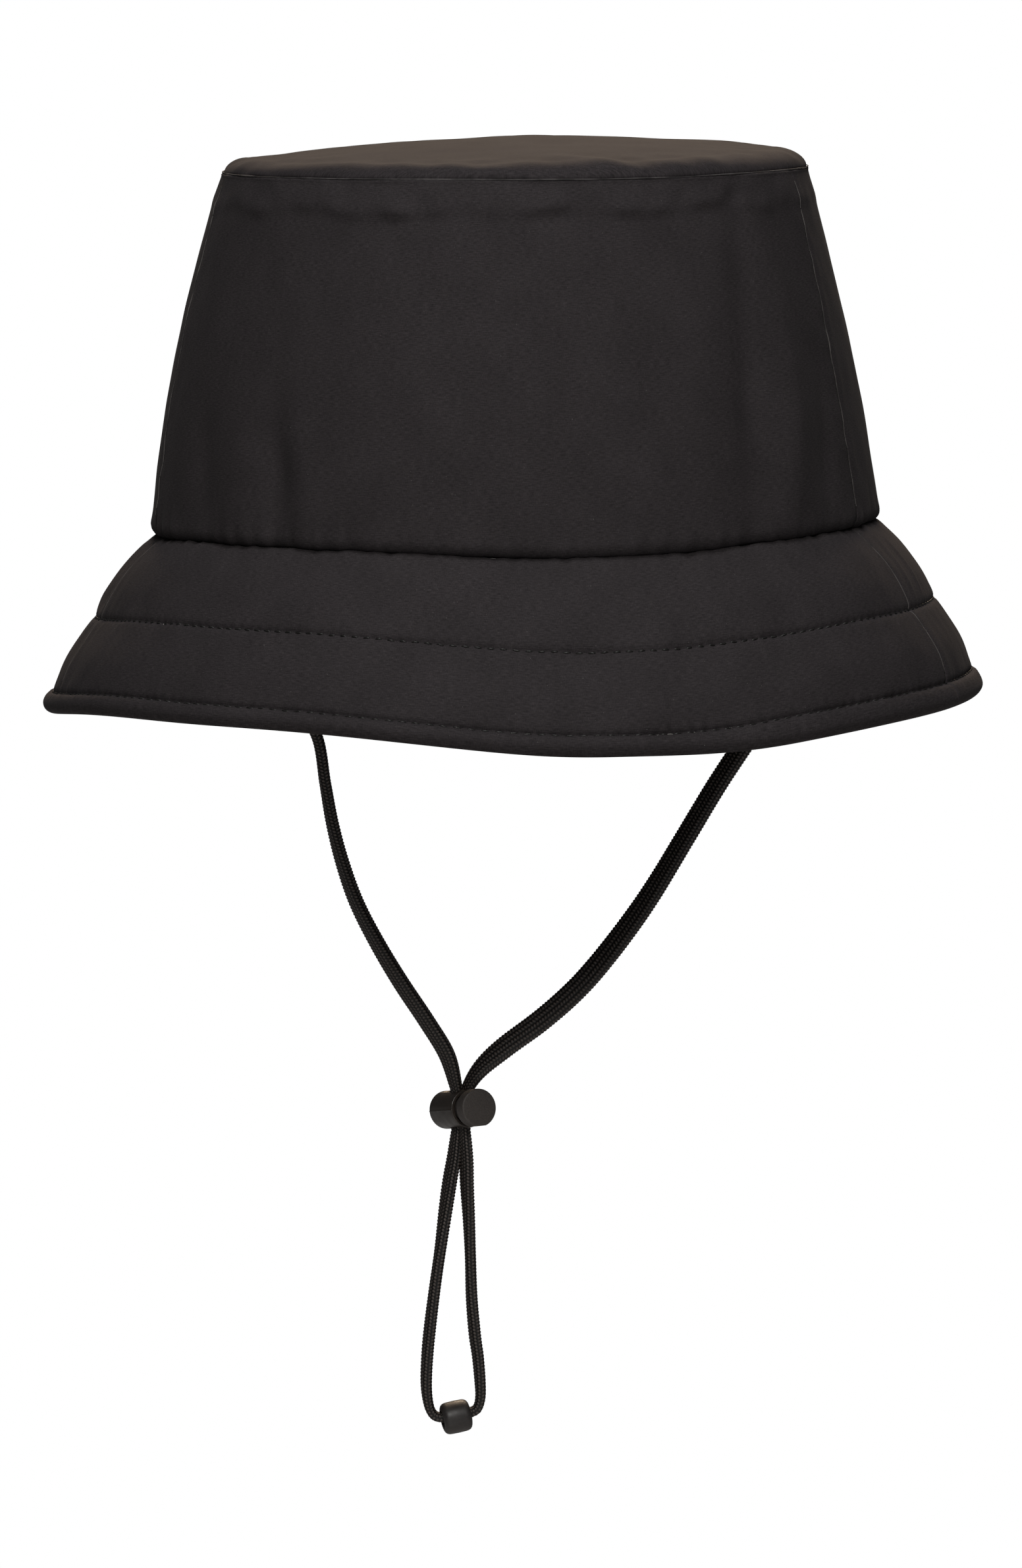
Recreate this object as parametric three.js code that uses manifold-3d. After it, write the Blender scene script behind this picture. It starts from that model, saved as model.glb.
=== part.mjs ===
// A soft bucket hat with a flat chin cord, a spring cord lock and an end bead, as the separate
// panels, linings and small moulded parts that it is sewn and put together from.
// Millimetres. +Z is up and the front faces -Y. The origin is the centre of the head opening, level
// with the seam that joins crown and brim.
//
// Every ring of the hat is an oval. Its section is drawn on the wearer's right-left side as points
// [halfWidth, height], and the oval is longer from front to back by the factor OVAL.

import * as THREE from 'three';
import Module from 'manifold-3d';
import { mergeVertices } from 'three/addons/utils/BufferGeometryUtils.js';

const wasm = await Module();
wasm.setup();

// ---- Driving dimensions -------------------------------------------------------------------------

const HEAD_WIDTH = 176.4; // inside the sweatband, for a 58 cm head
const HEAD_LENGTH = 192.4;
const OVAL = HEAD_LENGTH / HEAD_WIDTH;
const GAP = 0.3; // between neighbouring pieces

const SHELL = 1.4; // thickness of the crown's outer fabric
const LINING = 0.8;
const SWEATBAND = 3.0;
const SWEATBAND_HEIGHT = 31;

const CROWN_HEIGHT = 92.3; // brim seam to tip seam
const CROWN_BASE = 94; // half widths of the outer fabric
const CROWN_TOP = 75.2;
const CROWN_LEAN = 0.1; // how fast the wall leans in at its base
const CROWN_CURVE = (CROWN_BASE - CROWN_TOP - CROWN_LEAN * CROWN_HEIGHT) / CROWN_HEIGHT ** 2;

const TIP_HEIGHT = 100.5; // centre of the top panel
const TIP_SHELL = 1.2;
const SHOULDER = { width: 5.5, height: 3.4 }; // the rounded rim of the top panel
const DOME_POWER = 1.6; // 1 is a cone, 2 a round dome

const BRIM_START = [91.2, -1.45]; // middle of the brim's thickness at the crown seam
const BRIM_ROWS = [
  { length: 26.3, flare: 37 }, // seam to first stitch line, angle from the vertical
  { length: 21.7, flare: 29 }, // first stitch line to edge stitch line
];
const BRIM_HALF = 1.75; // half the brim's thickness in a stitch line
const PLY = 1.0;
const TOP_PUFF = 1.5; // how far each ply swells between stitch lines
const UNDER_PUFF = 0.8;
const LIP_RADIUS = 2.7; // the rolled edge outside the last stitch line
const LIP_REACH = 2.1;
const BRIM_DEPTH = 46.5; // crown seam to the lowest edge

// The worn hat isn't quite even: its edge waves up and down, and crown and brim lean apart.
const WAVES = [
  { height: 6.3, angle: -42, spread: 36 },
  { height: 2.6, angle: 66, spread: 30 },
  { height: -1.0, angle: 15, spread: 17 },
];
const SEAM_WAVE = 0.3; // share of the edge's wave that reaches the crown seam
const CROWN_SIDEWAYS = 2.0; // shift of the top panel towards +X
const BRIM_SIDEWAYS = -2.0; // shift of the brim's edge

const PANEL_FROM = -77.5; // side seams, in degrees from the front, + towards +X
const PANEL_TO = 67.5;

const CORD = { width: 6, thickness: 2.8, step: 4 };
const CORD_LEFT = [
  [-87, -3.8], [-85.2, -11], [-80, -20], [-72.5, -29], [-64.5, -37], [-57.5, -45.5], [-52.4, -54],
  [-50.6, -66.2], [-49, -76.6], [-46.6, -87], [-43.2, -97.4], [-38.2, -107.9], [-32.3, -118.4],
  [-25.7, -128.9], [-20.7, -137.7], [-18.5, -145.9],
]; // [x, z] from the left tab to the cord lock
const CORD_RIGHT = [
  [87, -3.8], [85, -13], [80.6, -23.5], [74.3, -34.5], [67, -45.5], [59.3, -56.5], [51.2, -68.3],
  [42.7, -81.9], [34.1, -95.6], [26.8, -105.8], [18.5, -116], [11.9, -122.8], [3.9, -129.5],
  [-5.2, -136], [-11.4, -141.2], [-14.9, -145.9],
]; // [x, z] from the right tab to the cord lock
const LOOP_LEFT = [
  [-18.6, -158.5], [-19.4, -165], [-20.5, -171], [-21.8, -178.6], [-23.4, -189], [-25.1, -199.5],
  [-26.6, -209.9], [-27.5, -217.8], [-27.9, -225], [-27.5, -229.8], [-26.6, -232.5], [-25.1, -233.7],
]; // [x, z] from the cord lock to the left mouth of the bead
const LOOP_RIGHT = [
  [-15.3, -158.5], [-15.9, -165], [-16.1, -172], [-15.8, -181.3], [-15.6, -191.8], [-15.5, -202.3],
  [-14.9, -212], [-14.2, -218.1], [-13.8, -224.5], [-13.8, -228.7], [-14.6, -231.5], [-16.2, -232.6],
]; // [x, z] from the cord lock to the right mouth of the bead

const TAB = { width: 10, height: 13, thickness: 1, from: -3.5, halfWidth: 87.3, lean: 6.3 };

const LOCK = {
  place: [-16.8, 0, -152.2],
  turn: 28.7, // the push button faces the front and this much to +X
  tilt: 9, // and this much upwards
  radius: 5.0,
  bore: 4.0,
  back: 9.6, // closed end of the barrel, behind the middle
  wall: 1.0,
  rim: 3.2, // open end of the barrel, before the middle
  gap: 2.7, // barrel rim to push button
  face: 9.3, // push button face
  stem: 3.7,
  stemEnd: 4.4,
  slot: { from: -3.6, to: 2.0, width: 3.8 },
};
const SPRING = { radius: 2.7, wire: 0.3, turns: 3 };
const BEAD = { place: [-20.3, 0, -233.8], length: 7.2, radius: 4.1, bore: 2.0, corner: 1.6, tilt: 9 };

const AROUND = 40; // facets around the hat
const SMALL_AROUND = 20; // facets around the small round parts

// ---- Materials ----------------------------------------------------------------------------------

const material = (color, roughness, metalness = 0) =>
  new THREE.MeshStandardMaterial({ color, roughness, metalness });

const shellFabric = material(0x2a282a, 0.85);
const liningFabric = material(0x232224, 0.7);
const sweatbandFabric = material(0x1c1b1d, 0.9);
const padding = material(0x5c5a58, 0.95);
const webbing = material(0x19181a, 0.8);
const braid = material(0x141314, 0.7);
const lockPlastic = material(0x2b2826, 0.45);
const buttonPlastic = material(0x262423, 0.7);
const beadPlastic = material(0x161515, 0.4);
const springSteel = material(0xb8b8ba, 0.3, 1);

// ---- Geometry helpers ---------------------------------------------------------------------------

const degrees = THREE.MathUtils.degToRad;

// A closed solid from a geometry: shared corners merged, empty triangles dropped, faces outwards.
function closed(geometry) {
  geometry.deleteAttribute('normal');
  geometry.deleteAttribute('uv');
  const merged = mergeVertices(geometry, 1e-4);
  const place = merged.attributes.position;
  const corners = [];
  let volume = 0;
  for (let i = 0; i < merged.index.count; i += 3) {
    const [a, b, c] = [0, 1, 2].map((k) => merged.index.getX(i + k));
    if (a === b || b === c || c === a) {
      continue;
    }
    corners.push([a, b, c]);
    const [p, q, r] = [a, b, c].map((k) => new THREE.Vector3().fromBufferAttribute(place, k));
    volume += p.dot(q.cross(r));
  }
  const outwards = volume > 0 ? corners : corners.map(([a, b, c]) => [a, c, b]);
  merged.setIndex(outwards.flat());
  merged.computeVertexNormals();
  return merged;
}

function toSolid(geometry) {
  const body = closed(geometry);
  return new wasm.Manifold(new wasm.Mesh({
    numProp: 3,
    vertProperties: new Float32Array(body.attributes.position.array),
    triVerts: new Uint32Array(body.index.array),
  }));
}

function toGeometry(solid) {
  const { vertProperties, triVerts } = solid.getMesh();
  const geometry = new THREE.BufferGeometry();
  geometry.setAttribute('position', new THREE.BufferAttribute(vertProperties, 3));
  geometry.setIndex(new THREE.BufferAttribute(triVerts, 1));
  geometry.computeVertexNormals();
  return geometry;
}

// The soft wave lifts the brim most at its edge, the crown seam less, and fades out up the crown.
function waveLift(x, y, z) {
  const angle = THREE.MathUtils.radToDeg(Math.atan2(x, -y / OVAL));
  let height = 0;
  for (const wave of WAVES) {
    height += wave.height * Math.exp(-(Math.abs((angle - wave.angle) / wave.spread) ** 3));
  }
  if (z > 0) {
    return height * SEAM_WAVE * Math.max(0, 1 - z / CROWN_HEIGHT) ** 2;
  }
  const toEdge = 1 - Math.max(0, 1 + z / BRIM_DEPTH) ** 1.7;
  return height * (SEAM_WAVE + (1 - SEAM_WAVE) * toEdge);
}

function sideways(z) {
  return z > 0 ? CROWN_SIDEWAYS * (z / CROWN_HEIGHT) ** 3 : BRIM_SIDEWAYS * (z / BRIM_DEPTH) ** 2;
}

// Turns a section [halfWidth, height] round the oval. A section that doesn't reach the axis closes
// on itself.
function ovalRing(section) {
  const points = section.map(([u, z]) => new THREE.Vector2(u, z));
  if (section[0][0] > 0) {
    points.push(points[0].clone());
  }
  const geometry = new THREE.LatheGeometry(points, AROUND);
  geometry.rotateX(Math.PI / 2);
  geometry.scale(1, OVAL, 1);
  const place = geometry.attributes.position;
  for (let i = 0; i < place.count; i += 1) {
    const [x, y, z] = [place.getX(i), place.getY(i), place.getZ(i)];
    place.setXYZ(i, x + sideways(z), y, z + waveLift(x, y, z));
  }
  return closed(geometry);
}

// A wedge that covers the front panel. Its point stands a little before or behind the middle, which
// leaves the gap of the side seams.
function frontWedge(shift) {
  const reach = 400;
  const ray = (angle) => [reach * Math.sin(degrees(angle)), -reach * OVAL * Math.cos(degrees(angle))];
  const outline = new THREE.Shape();
  outline.moveTo(0, shift);
  outline.lineTo(ray(PANEL_FROM)[0], ray(PANEL_FROM)[1] + shift);
  outline.lineTo(0, -reach * OVAL);
  outline.lineTo(ray(PANEL_TO)[0], ray(PANEL_TO)[1] + shift);
  outline.closePath();
  const wedge = new THREE.ExtrudeGeometry(outline, { depth: 200, bevelEnabled: false });
  wedge.translate(0, 0, -80);
  return toSolid(wedge);
}

const frontOnly = frontWedge(-GAP / 2);
const frontAndSeam = frontWedge(GAP / 2);

// A ring cut at the side seams into its front and back panels.
function panels(section) {
  const ring = toSolid(ovalRing(section));
  return {
    front: toGeometry(ring.intersect(frontOnly)),
    back: toGeometry(ring.subtract(frontAndSeam)),
  };
}

// ---- Crown --------------------------------------------------------------------------------------

// Half width of the crown's outer fabric at a height.
const wall = (z) => CROWN_BASE - CROWN_LEAN * z - CROWN_CURVE * z * z;

// Heights from low to high, for sampling the curved wall.
const heights = (low, high, steps) =>
  Array.from({ length: steps + 1 }, (_, i) => low + ((high - low) * i) / steps);

// A layer of the crown wall between two depths inside the outer surface.
function wallLayer(outer, inner, low, high, steps) {
  const levels = heights(low, high, steps);
  return [
    ...levels.map((z) => [wall(z) - outer, z]),
    ...levels.reverse().map((z) => [wall(z) - inner, z]),
  ];
}

function crownSideSection() {
  const top = CROWN_HEIGHT - GAP / 2;
  const roll = 1.2; // the fabric rolls under into the brim seam
  const layer = wallLayer(0, SHELL, 4, top, 5);
  return [[CROWN_BASE - roll, GAP], ...layer, [CROWN_BASE - SHELL - roll, GAP]];
}

// The top panel's upper surface, from the centre out to the foot of its rounded rim.
function domeLine(drop) {
  const edge = CROWN_TOP - SHOULDER.width;
  const rim = CROWN_HEIGHT + SHOULDER.height;
  const line = [];
  for (const share of [0, 0.3, 0.65, 1]) {
    line.push([edge * share, TIP_HEIGHT - (TIP_HEIGHT - rim) * share ** DOME_POWER - drop]);
  }
  return line;
}

function tipSection() {
  const foot = CROWN_HEIGHT + GAP / 2;
  const edge = CROWN_TOP - SHOULDER.width;
  const rim = (inset) => [35, 65, 90].map((angle) => [
    edge + (SHOULDER.width - inset) * Math.sin(degrees(angle)),
    foot + (SHOULDER.height - inset) * Math.cos(degrees(angle)),
  ]);
  return [...domeLine(0), ...rim(0), ...rim(TIP_SHELL).reverse(), ...domeLine(TIP_SHELL).reverse()];
}

function tipLiningSection() {
  const under = TIP_SHELL + GAP;
  const upper = domeLine(under);
  const lower = domeLine(under + LINING);
  return [...upper, ...lower.reverse()];
}

const liningDepth = SHELL + GAP;
const sweatbandDepth = liningDepth + LINING + GAP;
const liningSection = wallLayer(liningDepth, liningDepth + LINING, 4, CROWN_HEIGHT - 1.5, 3);
const sweatbandSection = wallLayer(
  sweatbandDepth, sweatbandDepth + SWEATBAND, 0, SWEATBAND_HEIGHT, 2);

// ---- Brim ---------------------------------------------------------------------------------------

// Stations down the middle of the brim: place, angle of the slope, and share of the full puff.
function brimStations() {
  const stations = [];
  const steps = 3;
  let [u, z] = BRIM_START;
  BRIM_ROWS.forEach(({ length, flare }, row) => {
    const before = row > 0 ? BRIM_ROWS[row - 1].flare : flare;
    for (let i = 0; i < steps; i += 1) {
      const share = i / steps;
      stations.push({
        u: u + length * share * Math.sin(degrees(flare)),
        z: z - length * share * Math.cos(degrees(flare)),
        flare: i === 0 ? (flare + before) / 2 : flare,
        puff: 4 * share * (1 - share),
      });
    }
    u += length * Math.sin(degrees(flare));
    z -= length * Math.cos(degrees(flare));
  });
  stations.push({ u, z, flare: BRIM_ROWS.at(-1).flare, puff: 0 });
  return stations;
}

// The point at a distance from a station, square to the slope: + above the brim, - under it.
const beside = ({ u, z, flare }, distance) =>
  [u + distance * Math.cos(degrees(flare)), z + distance * Math.sin(degrees(flare))];

const stations = brimStations();

// The line of one surface, as far as the edge stitch line.
const brimLine = (side, half, puff) =>
  stations.map((station) => beside(station, side * (half + puff * station.puff)));

// A quarter round of the rolled edge, from above or under the brim to the outermost edge.
function lipLine(side, radius) {
  const last = stations.at(-1);
  const slope = degrees(last.flare);
  const centre = [last.u + LIP_REACH * Math.sin(slope), last.z - LIP_REACH * Math.cos(slope)];
  const end = Math.asin(GAP / 2 / radius);
  return [0, 0.35, 0.7, 1].map((share) => {
    const angle = Math.PI / 2 + (end - Math.PI / 2) * share;
    const across = side * radius * Math.sin(angle);
    const along = radius * Math.cos(angle);
    return [
      centre[0] + across * Math.cos(slope) + along * Math.sin(slope),
      centre[1] + across * Math.sin(slope) - along * Math.cos(slope),
    ];
  });
}

function brimPlySection(side, puff) {
  const outer = [...brimLine(side, BRIM_HALF, puff), ...lipLine(side, LIP_RADIUS)];
  const inner = [...brimLine(side, BRIM_HALF - PLY, puff), ...lipLine(side, LIP_RADIUS - PLY)];
  return [...outer, ...inner.reverse()];
}

function brimPaddingSection() {
  const half = BRIM_HALF - PLY - GAP;
  return [...brimLine(1, half, TOP_PUFF), ...brimLine(-1, half, UNDER_PUFF).reverse()];
}

// ---- Chin cord, tabs, cord lock and bead --------------------------------------------------------

// A flat cord along a route of [x, z] points, with its wide side across the route's plane.
function cordAlong(route) {
  const path = new THREE.CatmullRomCurve3(route.map(([x, z]) => new THREE.Vector3(x, 0, z)));
  const section = new THREE.Shape();
  section.absellipse(0, 0, CORD.width / 2, CORD.thickness / 2, 0, 2 * Math.PI);
  const steps = Math.ceil(path.getLength() / CORD.step);
  return new THREE.ExtrudeGeometry(section, { extrudePath: path, steps, curveSegments: 8 });
}

// The small webbing tab that holds a cord end against the sweatband, on one side (-1 or 1).
function cordTab(side) {
  const tab = new THREE.BoxGeometry(TAB.thickness, TAB.width, TAB.height);
  tab.translate(0, 0, TAB.height / 2);
  tab.rotateY(-degrees(TAB.lean));
  tab.translate(TAB.halfWidth, 0, TAB.from);
  if (side < 0) {
    tab.rotateZ(Math.PI);
  }
  return tab;
}

// A round part about the Y axis from a section [radius, y].
function turned(section) {
  const points = section.map(([r, y]) => new THREE.Vector2(r, y));
  if (section[0][0] > 0) {
    points.push(points[0].clone());
  }
  return new THREE.LatheGeometry(points, SMALL_AROUND);
}

// The slot that both cords run through, as a block to cut with. The front of the lock is -Y.
function lockSlot() {
  const { from, to, width } = LOCK.slot;
  const block = new THREE.BoxGeometry(width, to - from, 4 * LOCK.radius);
  block.translate(0, -(from + to) / 2, 0);
  return toSolid(block);
}

function barrelGeometry() {
  const edge = 0.9;
  const tube = turned([
    [0, LOCK.back], [LOCK.radius - edge, LOCK.back], [LOCK.radius, LOCK.back - edge],
    [LOCK.radius, -LOCK.rim], [LOCK.bore, -LOCK.rim], [LOCK.bore, LOCK.back - LOCK.wall],
    [0, LOCK.back - LOCK.wall],
  ]);
  return toGeometry(toSolid(tube).subtract(lockSlot()));
}

function plungerGeometry() {
  const edge = 0.8;
  const head = LOCK.rim + LOCK.gap;
  const button = turned([
    [0, LOCK.stemEnd], [LOCK.stem, LOCK.stemEnd], [LOCK.stem, -head], [LOCK.radius, -head],
    [LOCK.radius, edge - LOCK.face], [LOCK.radius - edge, -LOCK.face], [0, -LOCK.face],
  ]);
  return toGeometry(toSolid(button).subtract(lockSlot()));
}

function springGeometry() {
  const room = GAP + SPRING.wire;
  const low = LOCK.stemEnd + room;
  const high = LOCK.back - LOCK.wall - room;
  const path = new THREE.CatmullRomCurve3(
    Array.from({ length: 8 * SPRING.turns + 1 }, (_, i) => new THREE.Vector3(
      SPRING.radius * Math.cos((i * Math.PI) / 4),
      low + ((high - low) * i) / (8 * SPRING.turns),
      SPRING.radius * Math.sin((i * Math.PI) / 4),
    )));
  const wire = new THREE.Shape();
  wire.absellipse(0, 0, SPRING.wire, SPRING.wire, 0, 2 * Math.PI);
  return new THREE.ExtrudeGeometry(
    wire, { extrudePath: path, steps: 10 * SPRING.turns, curveSegments: 3 });
}

function beadGeometry() {
  const half = BEAD.length / 2;
  const round = [0, 30, 60, 90].map((angle) => [
    BEAD.radius - BEAD.corner * (1 - Math.sin(degrees(angle))),
    half - BEAD.corner * (1 - Math.cos(degrees(angle))),
  ]);
  const mirrored = round.map(([r, y]) => [r, -y]).reverse();
  return turned([[BEAD.bore, half], ...round, ...mirrored, [BEAD.bore, -half]]);
}

// ---- The hat ------------------------------------------------------------------------------------

const hat = new THREE.Group();

function add(parent, name, geometry, finish) {
  const mesh = new THREE.Mesh(closed(geometry), finish);
  mesh.name = name;
  parent.add(mesh);
  return mesh;
}

function addPanels(name, section, finish) {
  const { front, back } = panels(section);
  add(hat, `${name}_front`, front, finish);
  add(hat, `${name}_back`, back, finish);
}

add(hat, 'crown_tip', ovalRing(tipSection()), shellFabric);
addPanels('crown_side', crownSideSection(), shellFabric);
addPanels('brim_top', brimPlySection(1, TOP_PUFF), shellFabric);
addPanels('brim_under', brimPlySection(-1, UNDER_PUFF), shellFabric);
add(hat, 'brim_padding', ovalRing(brimPaddingSection()), padding);
add(hat, 'lining_tip', ovalRing(tipLiningSection()), liningFabric);
addPanels('lining_side', liningSection, liningFabric);
add(hat, 'sweatband', ovalRing(sweatbandSection), sweatbandFabric);

const sides = { left: -1, right: 1 };
for (const [side, sign] of Object.entries(sides)) {
  add(hat, `cord_tab_${side}`, cordTab(sign), webbing);
}

const cordRoutes = {
  chin_cord_left: CORD_LEFT,
  chin_cord_right: CORD_RIGHT,
  cord_loop_left: LOOP_LEFT,
  cord_loop_right: LOOP_RIGHT,
};
for (const [name, route] of Object.entries(cordRoutes)) {
  add(hat, name, cordAlong(route), braid);
}

const bead = add(hat, 'end_bead', beadGeometry(), beadPlastic);
bead.position.set(...BEAD.place);
bead.rotation.z = Math.PI / 2;
bead.rotation.y = -degrees(BEAD.tilt);

const cordLock = new THREE.Group();
cordLock.position.set(...LOCK.place);
cordLock.rotation.set(-degrees(LOCK.tilt), 0, degrees(LOCK.turn), 'ZYX');
hat.add(cordLock);
add(cordLock, 'cord_lock_barrel', barrelGeometry(), lockPlastic);
add(cordLock, 'cord_lock_plunger', plungerGeometry(), buttonPlastic);
add(cordLock, 'cord_lock_spring', springGeometry(), springSteel);

export default hat;
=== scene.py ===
"""A soft bucket hat with a flat chin cord, a spring cord lock and an end bead.

The hat's sewn panels, stitches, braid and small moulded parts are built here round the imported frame.
Shapes are worked out in millimetres in the frame's axes and turned into metres when a mesh is made.
Around the hat, angle t is 0 at the front (-Y) and grows towards +X. Every ring is an oval.
"""
import math

import bmesh
import bpy
import numpy as np
from mathutils import Matrix, Vector


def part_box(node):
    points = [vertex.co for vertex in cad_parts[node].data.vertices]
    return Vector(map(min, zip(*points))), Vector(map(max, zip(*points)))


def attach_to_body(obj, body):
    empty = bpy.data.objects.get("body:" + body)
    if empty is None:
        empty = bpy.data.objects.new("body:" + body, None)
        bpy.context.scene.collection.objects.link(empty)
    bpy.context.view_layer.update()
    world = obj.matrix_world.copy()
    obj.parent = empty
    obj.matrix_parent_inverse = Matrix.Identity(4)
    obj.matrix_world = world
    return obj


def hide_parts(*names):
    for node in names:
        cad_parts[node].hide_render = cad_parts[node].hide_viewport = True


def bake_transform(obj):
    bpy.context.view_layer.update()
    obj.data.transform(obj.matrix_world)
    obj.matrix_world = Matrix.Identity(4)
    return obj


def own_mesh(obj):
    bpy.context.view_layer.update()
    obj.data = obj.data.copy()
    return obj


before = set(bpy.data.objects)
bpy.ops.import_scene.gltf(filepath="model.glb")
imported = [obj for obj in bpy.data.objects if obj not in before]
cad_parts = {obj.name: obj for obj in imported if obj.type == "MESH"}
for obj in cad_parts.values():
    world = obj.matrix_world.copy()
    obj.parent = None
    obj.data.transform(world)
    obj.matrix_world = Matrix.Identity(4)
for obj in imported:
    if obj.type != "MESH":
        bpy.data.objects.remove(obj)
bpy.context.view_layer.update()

MM = 0.001
TURN = 2 * math.pi
HAT = "hat"


def box_mm(*nodes):
    """Lowest and highest corner of some CAD nodes together, in millimetres."""
    boxes = np.array([[list(corner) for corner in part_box(node)] for node in nodes]) / MM
    return boxes[:, 0].min(0), boxes[:, 1].max(0)


# ---- Sizes, worked out from the frame ----

_, SWEATBAND_HIGH = box_mm("sweatband")
_, CROWN_HIGH = box_mm("crown_side_front", "crown_side_back")
TIP_LOW, TIP_HIGH = box_mm("crown_tip")

OVAL = SWEATBAND_HIGH[1] / SWEATBAND_HIGH[0]
BULGE_HEIGHT = 4.0  # the crown is widest this far above the brim seam
CROWN_HEIGHT = CROWN_HIGH[2] + 0.15  # the seam of the top panel stands a little proud
CROWN_BASE = CROWN_HIGH[0]
CROWN_TOP = (TIP_HIGH[0] - TIP_LOW[0]) / 2
CROWN_LEAN = 0.109  # of the wall at its widest, inwards for each mm of height
CROWN_RISE = CROWN_HEIGHT - BULGE_HEIGHT
CROWN_CURVE = (CROWN_BASE - CROWN_TOP - CROWN_LEAN * CROWN_RISE) / CROWN_RISE**2
DOME_TOP = TIP_HIGH[2]

SHELL = 1.0  # thickness of the outer fabric
LINING_DEPTH = 1.9  # outer fabric to the face of the lining
SWEATBAND_DEPTH = 2.8
SWEATBAND_THICK = 3.0
TIP_LINING_DROP = 1.9  # top panel to its lining

SEAM_LEFT = math.radians(-77.5)
SEAM_RIGHT = math.radians(67.5)
SEAMS = (("left", SEAM_LEFT), ("right", SEAM_RIGHT))
PANEL_GAP = 0.12  # half the gap between two panels at a side seam
LINING_GAP = 0.15

BRIM_START = (91.2, -1.45)  # middle of the brim's thickness at the crown seam
BRIM_ROWS = ((26.3, 37.0), (21.7, 29.0))  # length, and slope from the vertical in degrees
BRIM_HALF = 1.6
BRIM_RADIUS = 105.0  # mean half width of the brim, for lengths along its rows
PUFF = {1: (1.7, 1.15), -1: (0.9, 0.7)}  # how far the upper and the under cloth swell in each row
LIP_RADIUS = 2.7
LIP_REACH = 2.1  # from the last stitch line to the middle of the lip
BRIM_DEPTH = 46.5

# The worn hat isn't quite even: its edge waves up and down, and crown and brim lean apart.
WAVES = ((6.3, -42, 36), (2.6, 66, 30), (-1.0, 15, 17))  # height, angle, spread in degrees
SEAM_WAVE = 0.3
SEAM_RISE = 0.68
LIP_SAG = 1.5  # the rolled edge hangs this much deeper on the wearer's left
CROWN_SIDEWAYS = 2.0
BRIM_SIDEWAYS = -2.0

STITCH_PITCH = 3.0
STITCH_LENGTH = 2.3
THREAD_RADIUS = 0.27
DIMPLE_RADIUS = 110.0  # half width at which the cloth's dimples lie one pitch apart
STITCH_LINES = (BRIM_ROWS[0][0], BRIM_ROWS[0][0] + BRIM_ROWS[1][0])

CORD_WIDTH = 6.0
CORD_THICK = 3.0
LOCK_PLACE = (-16.8, 0.0, -152.2)
LOCK_TURN = math.radians(28.7)
LOCK_TILT = math.radians(9)
LOCK_TRAVEL = 2.4  # of the button

# Routes of the four stretches of cord, [x, z], as in the CAD part. The point beyond each end that
# meets the cord lock or the bead is inside it.
ROUTES = {
    "chin_cord_left": [
        (-87, -3.8), (-85.2, -11), (-80, -20), (-72.5, -29), (-64.5, -37), (-57.5, -45.5),
        (-52.4, -54), (-50.6, -66.2), (-49, -76.6), (-46.6, -87), (-43.2, -97.4), (-38.2, -107.9),
        (-32.3, -118.4), (-25.7, -128.9), (-20.7, -137.7), (-18.5, -145.9), (-17.9, -149.5),
    ],
    "chin_cord_right": [
        (87, -3.8), (85, -13), (80.6, -23.5), (74.3, -34.5), (67, -45.5), (59.3, -56.5),
        (51.2, -68.3), (42.7, -81.9), (34.1, -95.6), (26.8, -105.8), (18.5, -116), (11.9, -122.8),
        (3.9, -129.5), (-5.2, -136), (-11.4, -141.2), (-14.9, -145.9), (-15.8, -149.5),
    ],
    "cord_loop_left": [
        (-17.9, -154.5), (-18.4, -158.5), (-19.3, -165), (-20.5, -171), (-21.8, -178.6),
        (-23.4, -189), (-25.1, -199.5), (-26.6, -209.9), (-27.5, -217.8), (-27.9, -225),
        (-27.5, -229.8), (-26.6, -232.5), (-25.1, -233.7), (-22.4, -233.9),
    ],
    "cord_loop_right": [
        (-16.4, -154.5), (-16.3, -158.5), (-16.1, -165), (-16.1, -172), (-15.8, -181.3),
        (-15.6, -191.8), (-15.5, -202.3), (-14.9, -212), (-14.2, -218.1), (-13.8, -224.5),
        (-13.8, -228.7), (-14.6, -231.5), (-16.2, -232.6), (-18.6, -233.2),
    ],
}

# ---- Camera ----

CAMERA_PLACE = Vector((-0.0024, -1.9, 0.150))
CAMERA_TARGET = Vector((-0.0024, 0.0, -0.0672))
CAMERA_ROLL = math.radians(1.2)  # the hat sits a little crooked
VIEW_HEIGHT = 0.407  # how much of the target's plane the picture's long side takes in


def make_camera():
    """A long lens a little above the hat, rolled to match how it sits in the picture."""
    data = bpy.data.cameras.new("camera")
    camera = linked("camera", data)
    away = (CAMERA_PLACE - CAMERA_TARGET).normalized()
    right = Vector((0, 0, 1)).cross(away).normalized()
    up = away.cross(right)
    rolled_right = right * math.cos(CAMERA_ROLL) - up * math.sin(CAMERA_ROLL)
    rolled_up = up * math.cos(CAMERA_ROLL) + right * math.sin(CAMERA_ROLL)
    axes = Matrix((rolled_right, rolled_up, away)).transposed().to_4x4()
    camera.matrix_world = Matrix.Translation(CAMERA_PLACE) @ axes
    data.sensor_fit = "AUTO"
    data.sensor_width = 36.0
    data.lens = data.sensor_width * (CAMERA_PLACE - CAMERA_TARGET).length / VIEW_HEIGHT
    data.clip_start, data.clip_end = 0.1, 20.0
    bpy.context.scene.camera = camera


# ---- Pieces ----

def linked(name, data):
    """A new object of the scene with that data."""
    obj = bpy.data.objects.new(name, data)
    bpy.context.scene.collection.objects.link(obj)
    return obj


def attach(obj, body, slot, *nodes):
    """Fixes a piece to a body and hides the CAD nodes that it replaces. slot is not used."""
    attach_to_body(obj, body)
    if nodes:
        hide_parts(*nodes)
    return obj


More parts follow.
